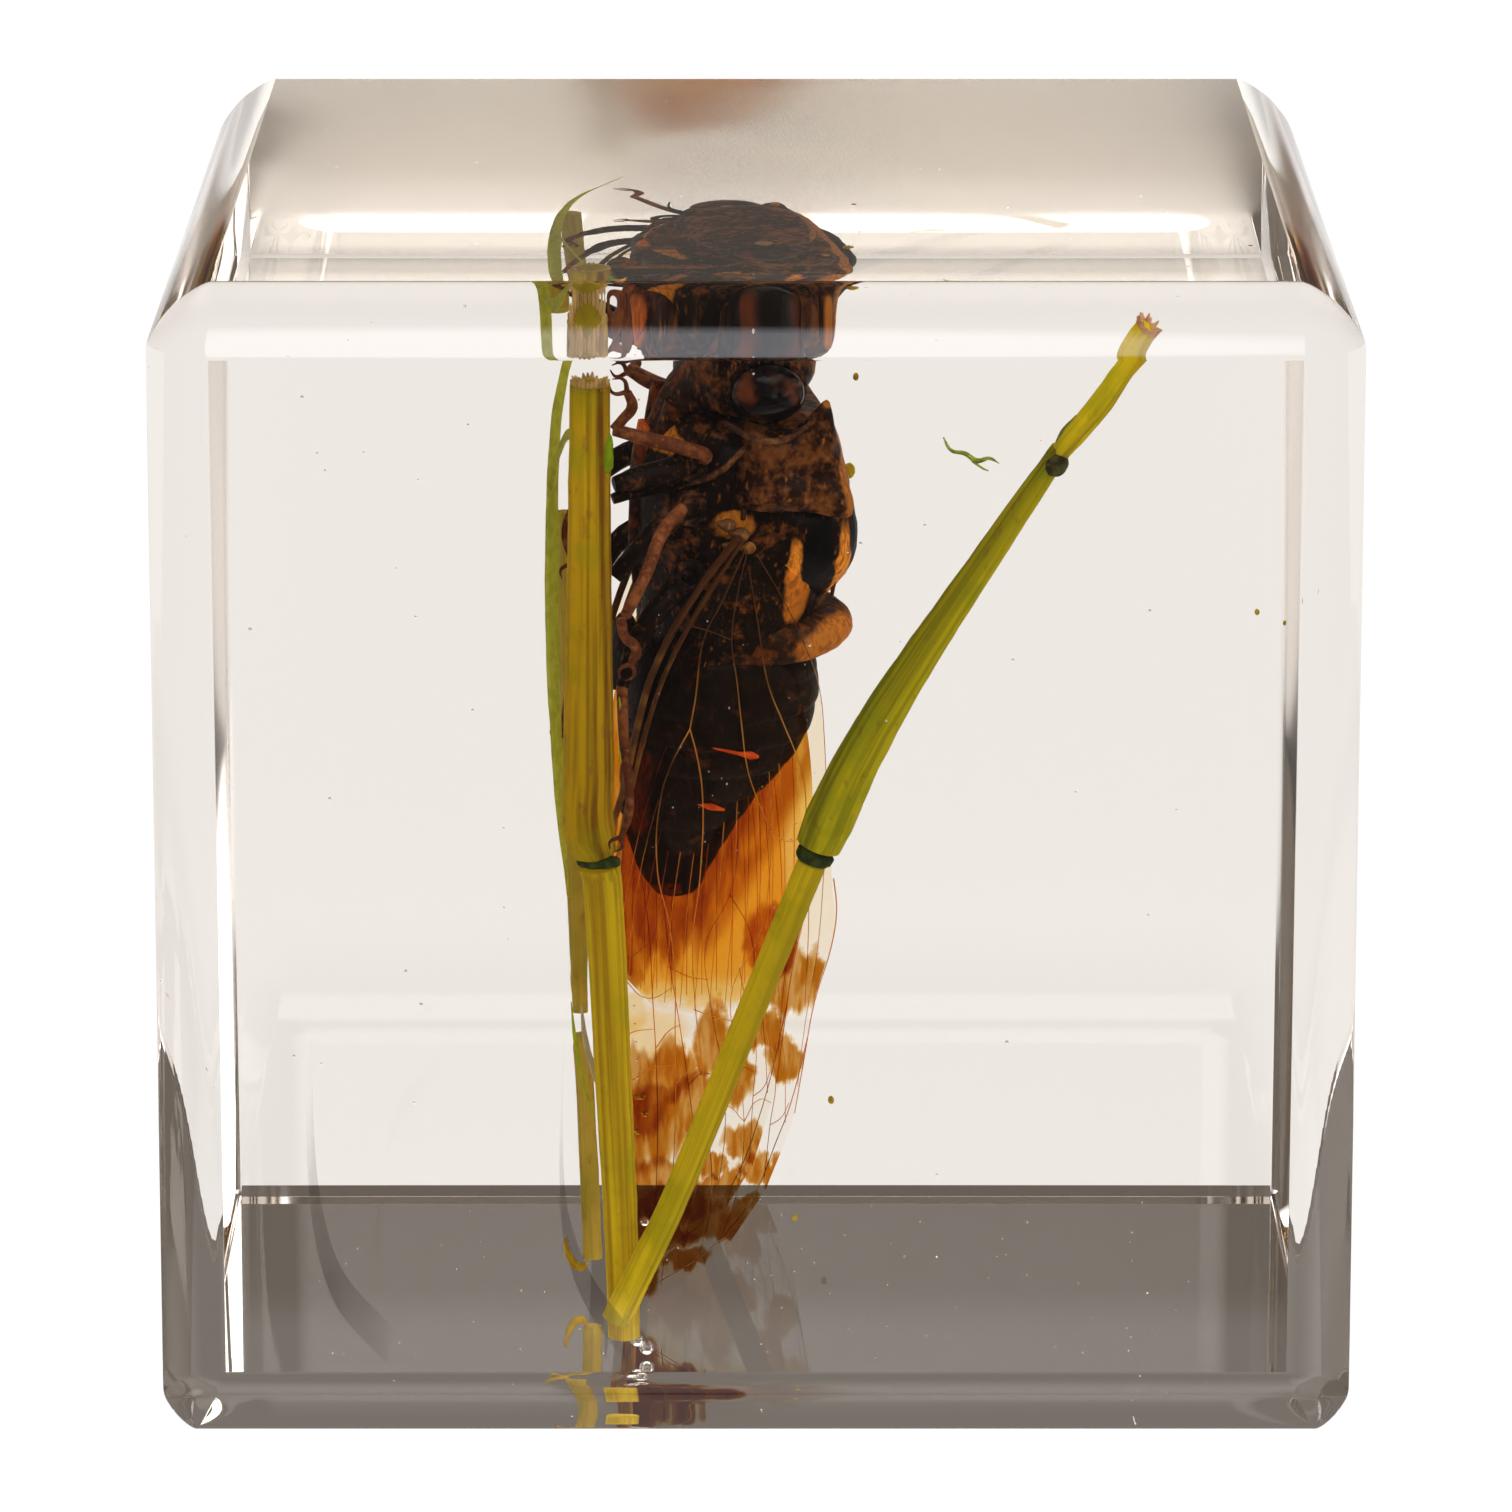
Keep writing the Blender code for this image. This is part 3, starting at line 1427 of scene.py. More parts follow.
    def build_ridges(self) -> None:
        """Makes the raised cross behind the back shield, and the sutures."""
        runs: list[Run] = []
        for side in Side:
            y = side.value
            runs += [
                [(3.2, 0.0, -2.5, 0.3), (3.1, 0.8 * y, -2.2, 0.24), (2.7, 1.7 * y, -1.8, 0.1)],
                [(3.2, 0.0, -2.6, 0.3), (2.9, 0.8 * y, -3.0, 0.24), (2.5, 1.6 * y, -3.3, 0.1)],
                [(-1.7, 4.0 * y, 5.3, 0.1), (-0.7, 4.75 * y, 4.85, 0.13), (0.4, 4.95 * y, 4.85, 0.13),
                 (1.3, 4.8 * y, 5.3, 0.1)],
                [(-0.2, 4.1 * y, 4.6, 0.1), (-0.8, 4.2 * y, 2.9, 0.14), (-0.9, 4.1 * y, 1.4, 0.1)],
                [(-3.3, 3.4 * y, 2.6, 0.12), (-1.9, 4.0 * y, 3.3, 0.14), (-0.9, 4.1 * y, 4.3, 0.12)],
                [(2.2, 3.95 * y, 1.4, 0.08), (3.0, 3.2 * y, -0.6, 0.1), (3.1, 2.2 * y, -2.4, 0.08)],
            ]
        ridges = Bench.rod("chest_ridges", runs)
        tan = Chitin("ridge_shell", dark=(0.05, 0.02, 0.01), mid=(0.22, 0.09, 0.03), amount=0.9)
        Bench.settle(ridges, BODY, tan.make(), smooth=False)

    def build_hinges(self) -> None:
        """Makes the small knobs that the wings hinge on."""
        knobs = ((-1.5, 1.25, 0.32), (-1.0, 0.85, 0.36), (-0.7, 0.3, 0.3), (-1.3, 0.35, 0.28))
        hinges = []
        for side in Side:
            y = side.value
            for x, z, radius in knobs:
                knob = Bench.ball("hinge", (x, 4.25 * y, z), (radius, 0.3, radius * 0.8))
                Bench.pull(knob, (x - radius, 4.25 * y, z), (-0.15, 0.0, 0.1), 0.3)
                hinges.append(knob)
        hinge = Bench.join("wing_hinges", hinges)
        horn = Chitin("hinge_shell", dark=(0.1, 0.045, 0.015), mid=(0.36, 0.17, 0.05), amount=1.0)
        Bench.settle(hinge, BODY, horn.make())


@dataclass
class Head:
    """The head: its capsule, the ribbed bulging face, the beak, eyes and feelers.

    Attributes:
        capsule: the head capsule's cross-sections.
        face_top: the height of the bulging face's top.
        face_bottom: the height of its foot.
        face_ribs: how many ribs cross it.
        eye_middle: the left eye's middle.
        eye_radii: its half sizes.
    """

    capsule: tuple = (
        Ring(4.9, -0.5, 1.9, 3.2), Ring(5.7, -0.4, 2.4, 3.6, corner=0.8),
        Ring(6.8, -0.1, 2.5, 3.75, corner=0.75), Ring(7.7, 0.1, 2.3, 3.5, corner=0.8),
        Ring(8.4, 0.2, 1.8, 3.0), Ring(8.8, 0.2, 1.1, 2.2),
    )
    face_top: float = 8.0
    face_bottom: float = 3.3
    face_ribs: int = 9
    eye_middle: Point = (-0.1, -3.95, 6.42)
    eye_radii: Point = (1.42, 1.1, 1.14)

    def build(self) -> None:
        """Makes every piece of the head."""
        finish = Chitin(
            "head_shell", dark=(0.014, 0.0045, 0.002), mid=(0.2, 0.062, 0.018), amount=1.0,
            thin=((2.2, 7.3, 0.4, 0.8),), pale=((-0.15, 7.95, 0.34, 0.26),), through=0.45,
        ).make()
        capsule = Bench.loft("head_capsule", list(self.capsule))
        Bench.refine(capsule, 2)
        for side in Side:
            y = side.value
            Bench.pull(capsule, (-0.1, 3.7 * y, 6.4), (0.0, 0.35 * y, 0.0), 1.6)
            Bench.pull(capsule, (-1.9, 2.9 * y, 7.9), (-0.4, 0.2 * y, 0.3), 0.9)
        Bench.settle(capsule, BODY, finish, lumps=(0.6, 0.16))
        self.build_face()
        self.build_eyes()
        self.build_feelers()

    def build_face(self) -> None:
        """Makes the ribbed face, its lower plate and the beak."""
        rings = []
        count = self.face_ribs * 3
        for index in range(count + 1):
            share = index / count
            z = self.face_top + (self.face_bottom - self.face_top) * share
            bulge = math.sin(math.pi * min(1.0, 0.12 + share * 0.8)) ** 0.6
            rib = 1.0 - 0.07 * (index % 3 == 0)
            x = -0.9 - 2.6 * share ** 1.25
            rings.append(Ring(z, x, 1.15 * bulge * rib, 1.6 * bulge * rib))
        face = Bench.loft("ribbed_face", rings, segments=5)
        finish = Chitin(
            "face_shell", dark=(0.022, 0.007, 0.003), mid=(0.2, 0.045, 0.012), glow=(0.75, 0.16, 0.04),
            amount=1.0, thin=((-2.0, 7.2, 0.5, 1.1), (-4.4, 4.3, 0.5, 0.9)), through=0.4, painted_glow=0.35,
        ).make()
        Bench.settle(face, BODY, finish, rounds=1)
        beak = Bench.rod(
            "beak",
            [
                [(-3.5, 0.0, 3.9, 0.75), (-3.9, 0.0, 2.9, 0.5), (-4.1, 0.0, 1.6, 0.32),
                 (-4.2, 0.0, -0.6, 0.24), (-4.1, 0.0, -2.4, 0.14)],
                [(-3.0, -1.3, 5.2, 0.5), (-3.3, -1.0, 4.2, 0.42), (-3.7, -0.6, 3.2, 0.25)],
                [(-3.0, 1.3, 5.2, 0.5), (-3.3, 1.0, 4.2, 0.42), (-3.7, 0.6, 3.2, 0.25)],
            ],
        )
        Bench.settle(beak, BODY, finish)

    def build_eyes(self) -> None:
        """Makes the two big eyes with their rims, and the three small eyes on top."""
        eye = Bench.ball("left_eye", self.eye_middle, self.eye_radii)
        Bench.refine(eye, 1)
        Bench.pull(eye, (-0.1, -5.0, 6.4), (0.0, -0.12, 0.0), 0.9)
        finish = EyeLens().make()
        for piece in (eye, Bench.mirror(eye, "right_eye")):
            Bench.settle(piece, BODY, finish)
        x, y, z = self.eye_middle
        turn = [2 * math.pi * k / 16 for k in range(17)]
        runs: list[Run] = [
            [(x + 1.46 * math.cos(a), -side.value * (y + 0.25), z + 1.2 * math.sin(a), 0.13) for a in turn]
            for side in Side
        ]
        rims = Bench.rod("eye_rims", runs)
        horn = Chitin("rim_shell", dark=(0.012, 0.005, 0.003), mid=(0.16, 0.055, 0.018), amount=0.8)
        Bench.settle(rims, BODY, horn.make(), smooth=False)
        small = [
            Bench.ball("small_eye", spot, (0.2, 0.2, 0.16))
            for spot in ((0.75, 0.0, 8.78), (1.2, 0.45, 8.6), (1.2, -0.45, 8.6))
        ]
        for lens in small:
            Bench.pull(lens, tuple(lens.data.vertices[0].co), (0.0, 0.0, 0.05), 0.2)
        dots = Bench.join("small_eyes", small)
        Bench.settle(dots, BODY, finish)

    def build_feelers(self) -> None:
        """Makes the two short bristle feelers."""
        runs: list[Run] = []
        for side in Side:
            y = side.value
            runs.append(
                [(-1.9, 2.3 * y, 7.7, 0.24), (-2.3, 2.6 * y, 8.1, 0.17), (-2.6, 3.0 * y, 8.7, 0.06),
                 (-2.5, 3.5 * y, 9.4, 0.03)]
            )
        feelers = Bench.rod("feelers", runs)
        Bench.settle(feelers, BODY, Chitin("feeler_shell", amount=0.3).make(), smooth=False)


@dataclass
class Abdomen:
    """The belly: telescoping ring segments that taper to the tail, and two belly plates.

    Attributes:
        profile: each segment joint's height, place along x and half sizes along x and y.
    """

    profile: tuple = (
        (-4.6, -0.5, 3.0, 3.4), (-5.9, -0.55, 3.7, 3.6), (-7.2, -0.6, 3.75, 3.55),
        (-8.4, -0.75, 3.6, 3.4), (-9.6, -1.1, 3.25, 3.1), (-10.8, -1.7, 2.8, 2.7),
        (-12.0, -2.05, 2.35, 2.3), (-13.2, -2.2, 1.85, 1.8), (-14.3, -2.3, 1.35, 1.3),
        (-14.9, -2.2, 1.05, 1.0), (-15.25, -2.2, 0.75, 0.7),
    )

    def build(self) -> None:
        """Makes the belly, its plates and the painted glints of light along two segment edges."""
        rings = []
        for upper, lower in zip(self.profile, self.profile[1:]):
            for share, size in ((0.0, 0.955), (0.14, 0.99), (0.6, 1.01), (0.96, 1.0)):
                z, x, half_x, half_y = (a + (b - a) * share for a, b in zip(upper, lower))
                rings.append(Ring(z, x, half_x * size, half_y * size))
        z, x, half_x, half_y = self.profile[-1]
        rings.append(Ring(z, x, half_x, half_y))
        belly = Bench.loft("belly", rings)
        finish = Chitin(
            "belly_shell", mid=(0.035, 0.01, 0.005), amount=0.25,
            thin=((-4.3, -9.9, 0.5, 1.3), (-3.9, -11.4, 0.3, 1.0), (-2.6, -14.9, 0.6, 0.25)),
            horn=(0.25, 0.05, 0.012), glow=(0.8, 0.14, 0.02), through=0.35,
        ).make()
        Bench.settle(belly, BODY, finish, rounds=1, lumps=(0.5, 0.08))
        self.build_plates(finish)
        self.build_edge_glints()

    def build_plates(self, finish: Material) -> None:
        """Makes the pair of rounded plates under the belly's root.

        Args:
            finish: the belly's material.
        """
        plate = Bench.loft(
            "left_belly_plate",
            [
                Ring(-4.3, -3.9, 0.3, 1.2, y=-1.7), Ring(-5.2, -4.25, 0.3, 1.5, y=-1.8),
                Ring(-6.4, -4.5, 0.26, 1.45, y=-1.8), Ring(-7.3, -4.6, 0.16, 0.9, y=-1.7),
            ],
        )
        Bench.refine(plate, 2)
        for piece in (plate, Bench.mirror(plate, "right_belly_plate")):
            Bench.settle(piece, BODY, finish)

    def build_edge_glints(self) -> None:
        """Makes the painted glints: thin bright orange rods along two segment edges, standing in for light
        at those thin edges.
        """
        runs: list[Run] = [
            [(-2.7, -2.75, -7.9, 0.03), (-1.6, -3.25, -8.15, 0.06), (-0.6, -3.4, -8.4, 0.07),
             (-0.1, -3.42, -8.5, 0.16), (0.2, -3.36, -8.58, 0.06)],
            [(-2.0, -2.62, -10.7, 0.03), (-1.5, -2.75, -10.8, 0.14), (-0.9, -2.62, -11.0, 0.05)],
        ]
        edge_glints = Bench.rod("segment_edge_glints", runs)
        # Painted glints: the bright orange stands in for light along the thin segment edges.
        finish = Plain("segment_edge_glint", (0.85, 0.14, 0.02), (0.6, 0.07, 0.01), 0.3).make()
        Bench.settle(edge_glints, BODY, finish, smooth=False)


# ---- insect: legs


@dataclass
class Legs:
    """Six jointed legs, folded against the chest as the insect dried, each with two claws."""

    def build(self) -> None:
        """Makes the legs."""
        dark = Chitin("femur_shell", amount=0.5, mid=(0.13, 0.045, 0.015)).make()
        amber = Chitin(
            "shin_shell", dark=(0.1, 0.028, 0.01), mid=(0.3, 0.1, 0.03), glow=(0.9, 0.3, 0.06),
            amount=1.0,
        ).make()
        thighs: list[Run] = [
            [(-2.6, -3.6, 3.9, 0.45), (-3.6, -4.1, 3.55, 0.5), (-4.9, -4.3, 3.3, 0.5),
             (-6.0, -4.4, 3.1, 0.28)],
            [(-2.8, -3.2, 3.1, 0.4), (-3.8, -3.6, 2.9, 0.42), (-5.0, -3.7, 2.6, 0.34),
             (-5.9, -3.8, 2.3, 0.2)],
            [(-2.6, -3.5, 2.2, 0.5), (-3.4, -4.0, 1.8, 0.5), (-4.8, -4.4, 0.6, 0.42),
             (-5.9, -4.5, -0.6, 0.3)],
            [(-2.8, -3.4, -1.0, 0.5), (-3.9, -3.9, -2.0, 0.45), (-4.9, -4.1, -3.6, 0.4),
             (-5.4, -4.2, -5.2, 0.25)],
            [(-2.4, 3.2, 3.6, 0.45), (-1.6, 4.0, 3.9, 0.45), (-0.9, 4.6, 3.9, 0.3)],
            [(-2.8, 3.5, 2.0, 0.5), (-4.2, 4.2, 1.2, 0.45), (-5.4, 4.4, -0.2, 0.3)],
            [(-2.8, 3.4, -1.0, 0.5), (-4.2, 3.9, -2.2, 0.42), (-5.1, 4.0, -4.6, 0.28)],
        ]
        shins: list[Run] = [
            [(-2.55, -4.0, 3.75, 0.2), (-2.5, -4.35, 4.1, 0.28), (-3.1, -4.5, 4.4, 0.28),
             (-4.6, -4.5, 4.85, 0.27), (-6.05, -4.5, 5.3, 0.24)],
            [(-6.05, -4.5, 5.3, 0.22), (-5.75, -4.5, 5.7, 0.2), (-5.4, -4.5, 6.2, 0.22),
             (-5.6, -4.5, 6.8, 0.17)],
            [(-3.3, -4.3, 2.0, 0.25), (-4.2, -5.2, 1.4, 0.26), (-5.2, -7.0, 0.3, 0.24),
             (-6.3, -8.8, -0.7, 0.22)],
            [(-6.5, -8.9, -0.8, 0.2), (-6.35, -8.9, -1.5, 0.2), (-5.85, -8.7, -2.1, 0.2),
             (-6.0, -8.7, -2.7, 0.15)],
            [(-5.4, -4.2, -5.2, 0.22), (-5.7, -6.3, -6.6, 0.2), (-5.85, -8.2, -7.8, 0.17),
             (-5.95, -8.8, -8.9, 0.15), (-6.25, -8.9, -9.7, 0.1)],
            [(-0.8, 3.6, 3.9, 0.26), (-1.9, 5.4, 3.8, 0.22), (-2.85, 8.1, 3.7, 0.18)],
            [(-2.85, 8.1, 3.7, 0.16), (-2.5, 8.7, 3.7, 0.2), (-2.6, 9.2, 3.7, 0.14)],
            [(-2.2, 3.0, 4.4, 0.28), (-3.2, 3.1, 4.7, 0.24), (-4.0, 3.2, 5.1, 0.12)],
            [(-5.4, 4.4, -0.2, 0.22), (-6.0, 4.3, -1.6, 0.18), (-5.7, 4.3, -3.0, 0.14)],
            [(-5.1, 4.0, -4.6, 0.2), (-5.6, 4.0, -7.0, 0.17), (-6.0, 4.0, -9.6, 0.1)],
        ]
        limbs = Bench.rod("thighs", thighs, sides=4)
        Bench.settle(limbs, BODY, dark, lumps=(0.5, 0.07))
        lower = Bench.rod("shins_and_feet", shins, sides=3)
        Bench.settle(lower, BODY, amber)
        self.build_knees(dark)
        self.build_claws(amber)

    def build_knees(self, finish: Material) -> None:
        """Makes the round leg sockets on the near side and their far copies.

        Args:
            finish: the thighs' material.
        """
        parts = []
        for side in Side:
            y = side.value
            inward = 0.0 if side is Side.LEFT else 0.8
            for x, z, size in ((-3.05, 3.75, 0.55), (-3.0, 1.95, 0.55), (-2.9, -0.8, 0.5)):
                x += inward
                turn = [2 * math.pi * k / 10 for k in range(11)]
                ring: Run = [(x + size * math.cos(a), 4.15 * y, z + size * math.sin(a), 0.17) for a in turn]
                parts.append(Bench.rod("socket", [ring]))
                parts.append(Bench.ball("knob", (x, 3.85 * y, z), (size * 0.7, 0.3, size * 0.7)))
        sockets = Bench.join("leg_sockets", parts)
        Bench.settle(sockets, BODY, finish)

    def build_claws(self, finish: Material) -> None:
        """Makes a pair of hooked claws at each foot.

        Args:
            finish: the shins' material.
        """
        feet = (
            ((-5.6, -4.5, 6.8), (-0.6, 0.0, 0.4)), ((-6.0, -8.7, -2.7), (-0.3, 0.0, -0.6)),
            ((-6.25, -8.9, -9.7), (-0.3, 0.0, -0.5)), ((-2.6, 9.2, 3.7), (-0.7, 0.4, 0.1)),
            ((-4.0, 3.2, 5.1), (-0.6, 0.0, 0.2)), ((-5.7, 4.3, -3.0), (-0.3, 0.0, -0.6)),
            ((-6.0, 4.0, -9.6), (-0.3, 0.0, -0.5)),
        )
        runs: list[Run] = []
        for root, way in feet:
            start, ahead = Vector(root), Vector(way)
            aside = ahead.cross(Vector((0.0, 1.0, 0.0))) if abs(ahead.y) < 0.3 else Vector((0.0, 0.0, 0.5))
            for sign in (-1, 1):
                middle = start + ahead * 0.6 + aside * 0.45 * sign
                tip = start + ahead * 1.1 + aside * 0.15 * sign
                runs.append([(*start, 0.11), (*middle, 0.07), (*tip, 0.02)])
        claws = Bench.rod("claws", runs, sides=2, steps=5)
        Bench.settle(claws, BODY, finish, smooth=False)


# ---- insect: wings


@dataclass
class WingPair:
    """One pair of wings: thin curved film, carried by raised veins, closed along the body.

    Attributes:
        name: the pair's name.
        front: points of the front edge, across and along, from root to tip.
        hind: points of the hind edge, from root to the margin's end.
        margin: where the film's ribs between the two end, from front to hind.
        tip_side: how far the tip stands from the middle.
        spread: how much further each millimetre towards the root stands out.
        belly: how far the film bulges between its edges.
        film: its membrane's finish.
        veins: each vein as points across and along, with its radius.
        thickness: the film's thickness.
        samples: how many stretches each of its ribs has.
    """

    name: str
    front: tuple
    hind: tuple
    margin: tuple
    tip_side: float
    spread: float
    belly: float
    film: Membrane
    veins: tuple
    thickness: float = 0.035
    samples: int = 40

    def side_at(self, u: float, z: float) -> float:
        """Works out how far the film stands from the insect's middle.

        Args:
            u: the place across the wing.
            z: the place along it.

        Returns:
            The distance from the middle.
        """
        tip = min(point[1] for point in self.margin)
        bulge = max(0.0, 1.0 - ((u + 0.9) / 4.4) ** 2)
        flute = 0.07 * math.sin(u * 3.1 + z * 0.25)
        return self.tip_side + self.spread * (z - tip) + self.belly * bulge + flute

    def build(self) -> None:
        """Makes the left wing and its veins, and mirrors both."""
        film, veins = self.build_film(), self.build_veins()
        vein = Vein(self.name + "_vein")
        for piece, label, finish in ((film, "film", self.film.make()), (veins, "veins", vein.make())):
            piece.name = f"left_{self.name}_{label}"
            for wing in (piece, Bench.mirror(piece, f"right_{self.name}_{label}")):
                Bench.settle(wing, WINGS, finish)

    def build_film(self) -> Object:
        """Bridges the left wing's film between its ribs and gives it its thickness.

        Returns:
            The film.
        """
        ribs = []
        last = len(self.margin) - 1
        for index, end in enumerate(self.margin):
            share = index / last
            points = [
                tuple(a + (b - a) * share for a, b in zip(first, second))
                for first, second in zip(self.front, self.hind)
            ]
            points.append(end)
            steps = [Bench.along(points, step / self.samples) for step in range(self.samples + 1)]
            ribs.append(Bench.line([(u, -self.side_at(u, z), z) for u, z in steps]))
        film = Bench.join("film", ribs)
        with Bench.opened(film):
            bpy.ops.mesh.bridge_edge_loops(type="SINGLE", number_cuts=5, interpolation="LINEAR")
        Bench.modify(film, "SOLIDIFY", thickness=self.thickness, offset=0.0)
        Bench.close(film)
        return film

    def build_veins(self) -> Object:
        """Lays the left wing's veins on the film.

        Returns:
            The veins, as one piece.
        """
        runs: list[Run] = []
        for radius, points in self.veins:
            run = []
            last = len(points) - 1
            for index, (u, z) in enumerate(points):
                thin = (1.0 if radius > 0.1 else 0.66) * (0.9 - 0.35 * index / max(last, 1))
                run.append((u, -self.side_at(u, z), z, radius * thin))
            runs.append(run)
        return Bench.rod("veins", runs, sides=2, steps=5)


def fore_veins() -> tuple:
    """Lists the forewing's veins: the long ones, the cross veins and the cells along the margin.

    Returns:
        For each its radius and its points across and along.
    """
    long_veins = [
        (0.17, ((-1.2, 0.9), (-2.7, -1.5), (-4.15, -4.9), (-4.6, -7.0), (-4.95, -9.4), (-5.4, -12.1),
                (-5.25, -15.5), (-4.9, -18.4), (-4.4, -22.9), (-3.9, -27.9), (-3.4, -32.8))),
        (0.12, ((-1.0, 0.8), (-2.3, -1.7), (-3.6, -4.6), (-4.2, -7.0), (-4.65, -9.4), (-5.0, -12.0),
                (-4.85, -15.4), (-4.5, -18.4), (-4.15, -22.9), (-3.75, -27.7))),
        (0.06, ((-1.1, 0.5), (-2.0, -1.2), (-2.9, -2.8), (-3.9, -5.4), (-4.3, -8.0))),
        (0.06, ((-0.9, 0.3), (-1.6, -1.6), (-2.25, -3.4), (-2.45, -5.9), (-2.6, -7.2))),
        (0.045, ((-2.6, -7.2), (-3.2, -8.6), (-3.55, -10.2), (-3.5, -13.4), (-2.95, -15.6), (-2.6, -18.0),
                 (-2.45, -20.5), (-2.3, -22.8), (-2.2, -26.5), (-2.4, -31.8))),
        (0.042, ((-2.6, -7.2), (-2.25, -8.4), (-1.95, -10.0), (-1.85, -13.6), (-2.0, -16.2), (-1.75, -19.2),
                (-1.4, -21.4), (-0.9, -24.8), (-0.6, -28.2), (-1.0, -30.7))),
        (0.035, ((-0.8, 0.2), (-1.1, -1.6), (-1.2, -3.5), (-0.9, -5.2), (-0.6, -7.1), (-0.25, -9.0),
                (0.2, -10.3), (0.75, -11.7), (0.9, -14.0), (0.6, -16.5), (-0.3, -18.5), (-0.1, -21.0),
                (0.5, -24.5), (0.4, -27.7), (-0.1, -29.8))),
        (0.042, ((-0.7, -0.4), (-0.2, -2.8), (0.35, -5.4), (1.0, -7.0), (1.65, -8.5), (2.0, -9.5),
                (2.3, -12.0), (2.6, -15.4), (2.7, -19.6))),
        (0.035, ((-0.4, 0.1), (0.65, -1.7), (1.7, -3.8), (2.35, -5.5), (2.75, -8.0), (3.0, -11.0),
                (3.1, -14.5), (3.05, -17.4), (2.75, -20.4), (2.6, -23.1))),
        (0.035, ((0.75, -11.7), (1.5, -12.2), (2.2, -12.1))),
        (0.035, ((0.6, -16.5), (1.4, -18.0), (1.7, -20.2), (2.0, -22.0), (2.2, -24.7))),
        (0.035, ((1.0, -19.5), (1.3, -21.0), (1.7, -22.7), (1.6, -24.8), (1.5, -27.4))),
    ]
    cross_veins = [
        (0.05, ((-2.9, -2.8), (-2.25, -3.0), (-1.25, -3.4))),
        (0.035, ((-4.6, -18.0), (-3.6, -18.9), (-2.6, -18.4))),
        (0.035, ((-4.2, -22.7), (-3.3, -22.0), (-2.4, -21.9))),
        (0.035, ((-2.3, -22.7), (-1.7, -22.0), (-1.3, -21.8))),
        (0.035, ((-1.0, -24.3), (-0.3, -23.8), (0.5, -24.5))),
        (0.035, ((0.5, -24.5), (1.1, -23.6), (1.6, -23.8))),
        (0.035, ((-1.8, -19.4), (-1.0, -19.8), (-0.2, -20.0))),
        (0.035, ((1.6, -24.8), (2.0, -24.5), (2.3, -23.8))),
    ]
    rim = (0.035, ((2.9, -21.0), (2.35, -23.9), (1.85, -25.7), (1.2, -27.7), (0.2, -29.4), (-1.0, -30.6),
                  (-2.4, -31.6), (-3.4, -32.3)))
    edge = (0.045, ((3.5, -14.0), (3.7, -15.4), (3.6, -17.0), (3.1, -19.4), (2.8, -22.0), (2.55, -24.3)))
    return tuple(long_veins + cross_veins + [rim, edge])


def hind_veins() -> tuple:
    """Lays out the hindwing's veins, which fan from its root.

    Returns:
        For each its radius and its points across and along.
    """
    ends = ((-4.5, -17.6), (-4.1, -18.5), (-3.6, -19.1), (-3.1, -19.5), (-2.6, -19.7), (-2.0, -19.9),
            (-1.4, -20.0), (-0.8, -20.0), (-0.2, -19.9), (0.4, -19.8), (0.9, -19.6), (1.4, -19.1),
            (1.9, -18.6))
    veins = []
    for index, (u, z) in enumerate(ends):
        share = index / (len(ends) - 1)
        knee = (-3.4 + 4.6 * share, -9.0)
        root = (-0.9 + 0.6 * share, -0.6 - 0.6 * share)
        veins.append((0.035, (root, (knee[0] * 0.55, -4.6), knee, (u * 0.97, -14.5), (u, z))))
    return tuple(veins)


FOREWINGS = WingPair(
    name="forewing",
    front=((-1.1, 1.0), (-2.7, -1.5), (-4.2, -4.9), (-4.85, -8.6), (-5.4, -12.1), (-5.1, -16.8),
           (-4.6, -21.5), (-4.1, -26.8)),
    hind=((-0.4, 0.3), (0.9, -2.3), (2.3, -5.5), (2.9, -9.5), (3.4, -13.8), (3.65, -16.4), (3.0, -19.8),
          (2.6, -24.0)),
    margin=((-3.4, -32.9), (-2.5, -32.3), (-1.0, -31.2), (0.3, -29.9), (1.6, -27.7)),
    tip_side=0.55,
    spread=0.112,
    belly=0.35,
    film=Membrane(
        "forewing_film",
        honey=(0.975, 0.86, 0.62),
        honey_from=-19.0,
        honey_to=-16.0,
        honey_share=0.35,
        patches=(
            (2.3, -18.4, 1.15, 1.5), (-3.2, -24.6, 1.5, 1.9), (-1.6, -23.6, 1.0, 1.3),
            (2.0, -22.0, 0.9, 0.9), (0.0, -22.5, 0.7, 1.5), (1.3, -26.8, 0.9, 0.8),
            (-2.4, -28.7, 1.9, 1.4), (-0.2, -29.0, 1.2, 0.8), (-0.6, -26.5, 0.5, 0.5),
            (-3.0, -31.2, 0.5, 1.1), (-1.5, -30.6, 0.9, 0.45), (0.9, -28.4, 0.6, 0.5),
        ),
        tans=((-2.4, -22.0, 1.3, 1.0), (-4.2, -19.6, 0.6, 0.9), (-3.0, -30.5, 1.2, 1.0)),
    ),
    veins=fore_veins(),
)

HINDWINGS = WingPair(
    name="hindwing",
    front=((-0.9, 0.0), (-2.6, -3.0), (-4.0, -6.5), (-4.6, -10.0), (-4.9, -14.0)),
    hind=((-0.4, -0.8), (1.1, -3.8), (2.2, -7.5), (2.75, -11.2), (2.9, -15.2)),
    margin=((-4.5, -18.2), (-3.0, -19.9), (-1.1, -20.3), (0.9, -19.9), (2.2, -18.6)),
    tip_side=0.45,
    spread=0.15,
    belly=0.3,
    film=Membrane(
        "hindwing_film", honey=(0.965, 0.79, 0.4), brown=(0.72, 0.42, 0.08), honey_from=-20.2,
        honey_to=-19.0, fringe=True, patches=((-4.6, -15.0, 0.7, 3.4), (-4.3, -18.2, 0.8, 1.3)),
        windows=((3.2, -14.4, 0.8, 2.8),),
    ),
    veins=hind_veins(),
)


# ---- plants


